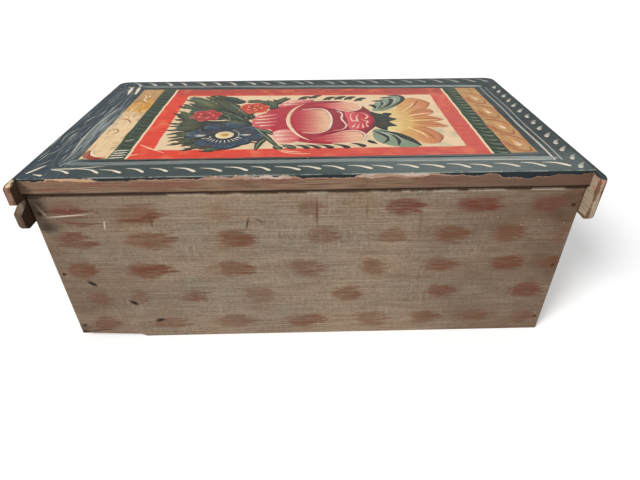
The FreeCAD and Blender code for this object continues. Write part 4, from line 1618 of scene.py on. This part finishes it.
        film.strokes(([(22, 64), (14, 67), (5, 69)], [(20, 67), (10, 71), (-2, 72)],
                      [(124, 51), (114, 59), (102, 67)], [(126, 71), (120, 68)]), 1.3, peach, warm)

    def red_flowers(self, film: PaintFilm) -> None:
        """Two small red flowers in the leaves.

        Args:
            film: what it is painted into.
        """
        for middle, tone, heart in (((86, -9), Pigment.CRIMSON, Pigment.PALE_PINK),
                                    ((47, -26), Pigment.VERMILION, Pigment.PEACH)):
            for index in range(6):
                turn = math.tau * index / 6 + 0.3
                outline = around(middle, turn, (1, 0), (6, 5), (11, 5.5), (14.5, 0), (11, -5.5), (6, -5))
                film.patch(outline, Pigment.BRICK, tone, (math.cos(turn), math.sin(turn)),
                           lift=0.04 + 0.012 * index)
                edge = around(middle, turn, (8, 4.2), (12.5, 2.4), (13.5, -1.5))
                film.stroke(edge, 1.3, Pigment.BRICK, heart, 0.14)
            for index in range(5):
                turn = math.tau * index / 5 + 0.5
                curl = around(middle, turn, (1.0, 0), (3.4, 2.2), (6.0, 1.6), (6.4, -1.0))
                film.stroke(curl, 2.0, tone, heart, 0.2, Form.COMMA)

    def blue_flower(self, film: PaintFilm) -> None:
        """The blue flower with its cream and yellow eye.

        Args:
            film: what it is painted into.
        """
        ink, petal, light, cream = Pigment.INK, Pigment.PETAL_BLUE, Pigment.LIGHT_BLUE, Pigment.CREAM
        middle = (64, 35.5)
        petals = ((-8, 33, 9), (-52, 28, 9), (-102, 29, 11), (-148, 28, 9), (172, 33, 9), (140, 26, 8),
                  (98, 27, 12), (48, 27, 9))
        for index, (degrees, reach, half) in enumerate(petals):
            turn = math.radians(degrees)
            outline = around(middle, turn, (4, -3), (0.5 * reach, -0.8 * half), (0.82 * reach, -half),
                             (reach, -0.3 * half), (reach, 0.3 * half), (0.82 * reach, half),
                             (0.5 * reach, 0.8 * half), (4, 3))
            film.patch(outline, Pigment.NAVY, petal, (math.cos(turn), math.sin(turn)), ink,
                       0.04 + 0.012 * index)
            shine = around(middle, turn, (0.62 * reach, 0.35 * half), (0.8 * reach, 0.5 * half),
                           (0.9 * reach, -0.1 * half))
            film.stroke(shine, 2.6, petal, light, 0.14)
            gap = around(middle, turn - 0.1, (0.35 * reach, -0.9 * half), (0.95 * reach, -1.05 * half))
            film.stroke(gap, 2.4, ink, lift=0.15)
        film.disc(middle, 9.6, 12, ink, lift=0.18)
        for index in range(26):
            turn = math.tau * index / 26
            if math.sin(turn) >= 0.2 or math.cos(turn) <= -0.4:
                reach = 15.5 if math.sin(turn) > 0.3 else 12.0
                film.stroke(around(middle, turn, (10.2, 0), (reach, 0.6)), 1.1, cream, Pigment.BONE, 0.24)
        for x, width in ((83, 6.0), (48, 4.4)):
            film.stroke([(x + 4.5, 35), (x, 36), (x - 4.5, 35)], width, light, Pigment.BONE, 0.22)
            film.stroke([(x + 2, 35), (x - 2, 36)], 0.5 * width, cream, lift=0.26)
        film.disc(middle, 7.6, 10, Pigment.YELLOW, Pigment.YELLOW, (1.0, 0.0), cream, lift=0.24)
        film.disc(middle, 3.4, 8, Pigment.OCHRE, Pigment.GOLD, lift=0.3)


@dataclass
class BoxBoards:
    """The box itself: four walls and a bottom, nailed together."""

    back_rows: tuple[DabRow, ...] = (
        DabRow(120.5, (Dab(163, 36, 0.95, 0.0),), 2.5),
        DabRow(115.5, (Dab(114, 42, 0.85, 0.3),), 2.3),
        DabRow(111, (Dab(159, 34, 0.75, 0.2),), 2.3),
        DabRow(120, (Dab(164, 28, 0.5, 0.1), Dab(117, 31, 0.6, 0.5), Dab(60, 16, 0.35, 0.6),
                     Dab(-1, 18, 0.55, 0.5), Dab(-66, 30, 0.95, 0.0), Dab(-118, 36, 0.95, 0.0),
                     Dab(-165, 27, 0.7, 0.2))),
        DabRow(96, (Dab(165, 28, 0.85, 0.3), Dab(113, 36, 0.8, 0.9), Dab(52, 30, 0.85, 0.4),
                    Dab(-9, 24, 0.6, 0.8), Dab(-58, 26, 0.6, 0.5), Dab(-102, 27, 0.85, 0.8),
                    Dab(-143, 22, 0.75, 0.6), Dab(-180, 14, 0.5, 0.6))),
        DabRow(69, (Dab(168, 26, 0.8, 0.4), Dab(118, 39, 0.95, 0.4), Dab(55, 30, 0.8, 0.6),
                    Dab(2, 29, 0.65, 0.6), Dab(-47, 20, 0.65, 0.5), Dab(-97, 28, 0.8, 0.3),
                    Dab(-147, 28, 0.9, 0.3), Dab(-180, 15, 0.75, 0.9))),
        DabRow(43, (Dab(163, 19, 0.6, 0.4), Dab(132, 15, 0.55, 0.8), Dab(90, 23, 0.65, 0.4),
                    Dab(40, 27, 0.55, 0.5), Dab(-27, 25, 0.75, 0.5), Dab(-102, 26, 0.8, 0.2),
                    Dab(-168, 28, 0.9, 0.1))),
        DabRow(15, (Dab(166, 26, 0.7, 0.3), Dab(114, 32, 0.65, 0.5), Dab(61, 33, 0.6, 0.7),
                    Dab(4, 38, 0.75, 0.4), Dab(-48, 30, 0.6, 0.5), Dab(-92, 24, 0.7, 0.6),
                    Dab(-130, 27, 0.65, 0.5), Dab(-172, 19, 0.6, 0.4))),
    )
    marks: tuple[Mark, ...] = (
        Mark(164.5, 57, 5.4, 2.3, 38, "#26211e", 1.0, 1.0), Mark(138, 37, 5.4, 2.3, 35, "#26211e", 1.0, 1.0),
        Mark(121, 18, 5.4, 2.3, -12, "#2a241f", 1.0, 1.0), Mark(185, 11, 11, 7, 0, "#4a392d", 0.55),
        Mark(181, 122, 8, 1.1, 65, "#c9b8a5", 0.9, -0.6), Mark(164, 117, 21, 0.9, -4, "#cdbca8", 0.85, -0.6),
        Mark(141.5, 109, 6, 0.8, 100, "#d8ccba", 0.7), Mark(109, 112, 8, 1.4, 90, "#54402f", 0.65, 0.4),
        Mark(-5.5, 116, 15, 1.3, 90, "#64402f", 0.7), Mark(43, 108.5, 7, 1.0, 105, "#382c22", 0.8, 0.5),
        Mark(34.5, 110.5, 5, 1.0, 31, "#382c22", 0.7, 0.5), Mark(-40, 118, 12, 1.2, 90, "#6b5545", 0.5),
        Mark(-78, 105, 18, 1.6, 88, "#6f584a", 0.45), Mark(-176, 112, 6, 5, 0, "#5a493b", 0.5),
        # Painted shadow: the two marks at x 183 and 178 are the shade that the +X batten's tail casts on the
        # wall.
        Mark(183, 124, 9, 11, 0, "#55483d", 0.6), Mark(178, 108, 9, 6, 0, "#51453b", 0.6),
        Mark(185, 5, 5, 6, 0, "#2e231c", 0.9), Mark(172, 8, 16, 1.6, -6, "#4d382a", 0.75),
    )
    doubled: int = 3
    dab_pitch: float = 50.0

    def rows(self, half: float, seed: int) -> list[DabRow]:
        """Rows of dabs at the back's heights, for a wall the photograph doesn't show.

        Args:
            half: half of the wall's length, in mm.
            seed: what tells this wall from another.

        Returns:
            The rows, the highest first.
        """
        chance = random.Random(seed).uniform
        count = int(2 * half // self.dab_pitch)
        rows = []
        for row in self.back_rows[self.doubled:]:
            shift = chance(-8, 8)
            dabs = tuple(
                Dab((index - (count - 1) / 2) * self.dab_pitch + shift + chance(-5, 5), chance(20, 35),
                    chance(0.6, 0.95), chance(0.0, 0.8))
                for index in range(count)
            )
            rows.append(DabRow(row.height_mm + chance(-2, 2), dabs))
        return rows

    def dress(self) -> None:
        """Give every board, nail and pin of the box its material."""
        plain = CaseinWash()
        walls = (
            ("back_board", CaseinWash(marks=self.marks), Side.BACK, self.back_rows, 187.0),
            ("front_board", plain, Side.FRONT, self.rows(187.0, 31), 187.0),
            ("left_end_board", plain, Side.LEFT, self.rows(98.0, 32), 98.0),
            ("right_end_board", plain, Side.RIGHT, self.rows(98.0, 33), 98.0),
        )
        for node, wash, side, rows, half in walls:
            dress(node, wash.build("casein_wash_" + node, side, rows, half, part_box(node)))
        dress("bottom_board", AgedSpruce().build("aged_spruce_bottom", Axis.X, (-20.0, -90.0)))
        iron = RustedIron().build("rusted_iron")
        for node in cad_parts:
            if node.endswith("nails"):
                dress(node, iron)
            if node.endswith("hinge_pin"):
                low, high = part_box(node)
                dress(node, WhittledPeg().build("whittled_" + node, (low + high) / 2))


@dataclass
class LidBoards:
    """The lid: one wide board with a batten nailed across each end."""

    def dress(self) -> None:
        """Give the lid's board and battens their materials."""
        dress("lid_board", LidPaint().build("tempera_lid"))
        for node, grime in (("left_lid_batten", 0.0), ("right_lid_batten", 1.0)):
            dress(node, BattenPaint().build("worn_paint_" + node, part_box(node), grime))


def dress(node: str, material: bpy.types.Material) -> None:
    """Give a CAD node its material.

    Args:
        node: the node's name.
        material: what it gets.
    """
    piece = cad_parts[node]
    piece.data.materials.clear()
    piece.data.materials.append(material)
    log.info("%s: %s", node, material.name)


@dataclass
class Studio:
    """Pale floor, soft light and the camera where the photographer stood."""

    eye: Triple = (-0.00225, 0.37433, 0.28120)
    forward: Triple = (-0.01556, -0.82207, -0.56918)
    upward: Triple = (-0.01809, -0.56892, 0.82219)
    lens_mm: float = 25.948
    floor_size: float = 12.0
    floor_glow: float = 0.34
    air: float = 0.32
    key: float = 2.9
    key_from: Triple = (0.72, 0.62, 0.78)

    def place(self, name: str, data: Any) -> bpy.types.Object:
        """Put a new object with the given data in the scene."""
        piece = bpy.data.objects.new(name, data)
        bpy.context.scene.collection.objects.link(piece)
        return piece

    def floor(self) -> None:
        """A wide white floor that keeps the box's shadow."""
        half = self.floor_size / 2
        mesh = bpy.data.meshes.new("floor")
        corners = [(-half, -half, 0), (half, -half, 0), (half, half, 0), (-half, half, 0)]
        mesh.from_pydata(corners, [], [(0, 1, 2, 3)])
        piece = self.place("floor", mesh)
        surface = Surface("matt_white_floor")
        rays = surface.add("LightPath").outputs
        seen = surface.add("Math", (rays["Is Camera Ray"], rays["Is Glossy Ray"]))
        seen = surface.add("Math", (seen, rays["Is Transmission Ray"]), use_clamp=True)
        glow = surface.add("Math", (seen, self.floor_glow), **MULTIPLY)
        matt = surface.add("BsdfDiffuse", {"Color": (0.8, 0.8, 0.8, 1.0)})
        lit = surface.add("Emission", {"Color": (1.0, 1.0, 1.0, 1.0), "Strength": glow})
        surface.add("OutputMaterial", {"Surface": surface.add("AddShader", (matt, lit))})
        mesh.materials.append(surface.owner)

    def world(self) -> None:
        """Even light from all round, and white where the camera sees past the floor."""
        world = bpy.data.worlds.new("studio_air")
        bpy.context.scene.world = world
        sky = Nodes(world)
        rays = sky.add("LightPath").outputs
        seen = sky.add("Math", (rays["Is Camera Ray"], rays["Is Glossy Ray"]), use_clamp=True)
        strength = sky.add("MapRange", (seen, 0.0, 1.0, self.air, 1.0))
        light = sky.add("Background", {"Color": (1.0, 1.0, 1.0, 1.0), "Strength": strength})
        sky.add("OutputWorld", {"Surface": light})

    def lamps(self) -> None:
        """One soft key from the upper left of the photograph."""
        key = bpy.data.lights.new("soft_key", "SUN")
        key.energy = self.key
        key.angle = math.radians(20)
        piece = self.place("soft_key", key)
        piece.rotation_euler = Vector(self.key_from).to_track_quat("Z", "Y").to_euler()

    def camera(self) -> None:
        """The phone's camera, behind and above the box."""
        lens = bpy.data.cameras.new("camera")
        lens.lens = self.lens_mm
        lens.sensor_width = 36.0
        lens.clip_start = 0.01
        piece = self.place("camera", lens)
        back = -Vector(self.forward).normalized()
        right = Vector(self.upward).cross(back).normalized()
        turn = Matrix((right, back.cross(right), back)).transposed()
        piece.matrix_world = Matrix.Translation(self.eye) @ turn.to_4x4()
        bpy.context.scene.camera = piece

    def build(self) -> None:
        """Set up the whole studio."""
        self.floor()
        self.world()
        self.lamps()
        self.camera()
        bpy.context.scene.view_settings.view_transform = "Standard"


def main() -> None:
    """Dress the box and its lid, paint the lid, and set up the studio."""
    BoxBoards().dress()
    LidBoards().dress()
    LidPainting().build()
    Studio().build()


if __name__ == "__main__":
    logging.basicConfig(level=logging.INFO, format="%(name)s: %(message)s")
    main()
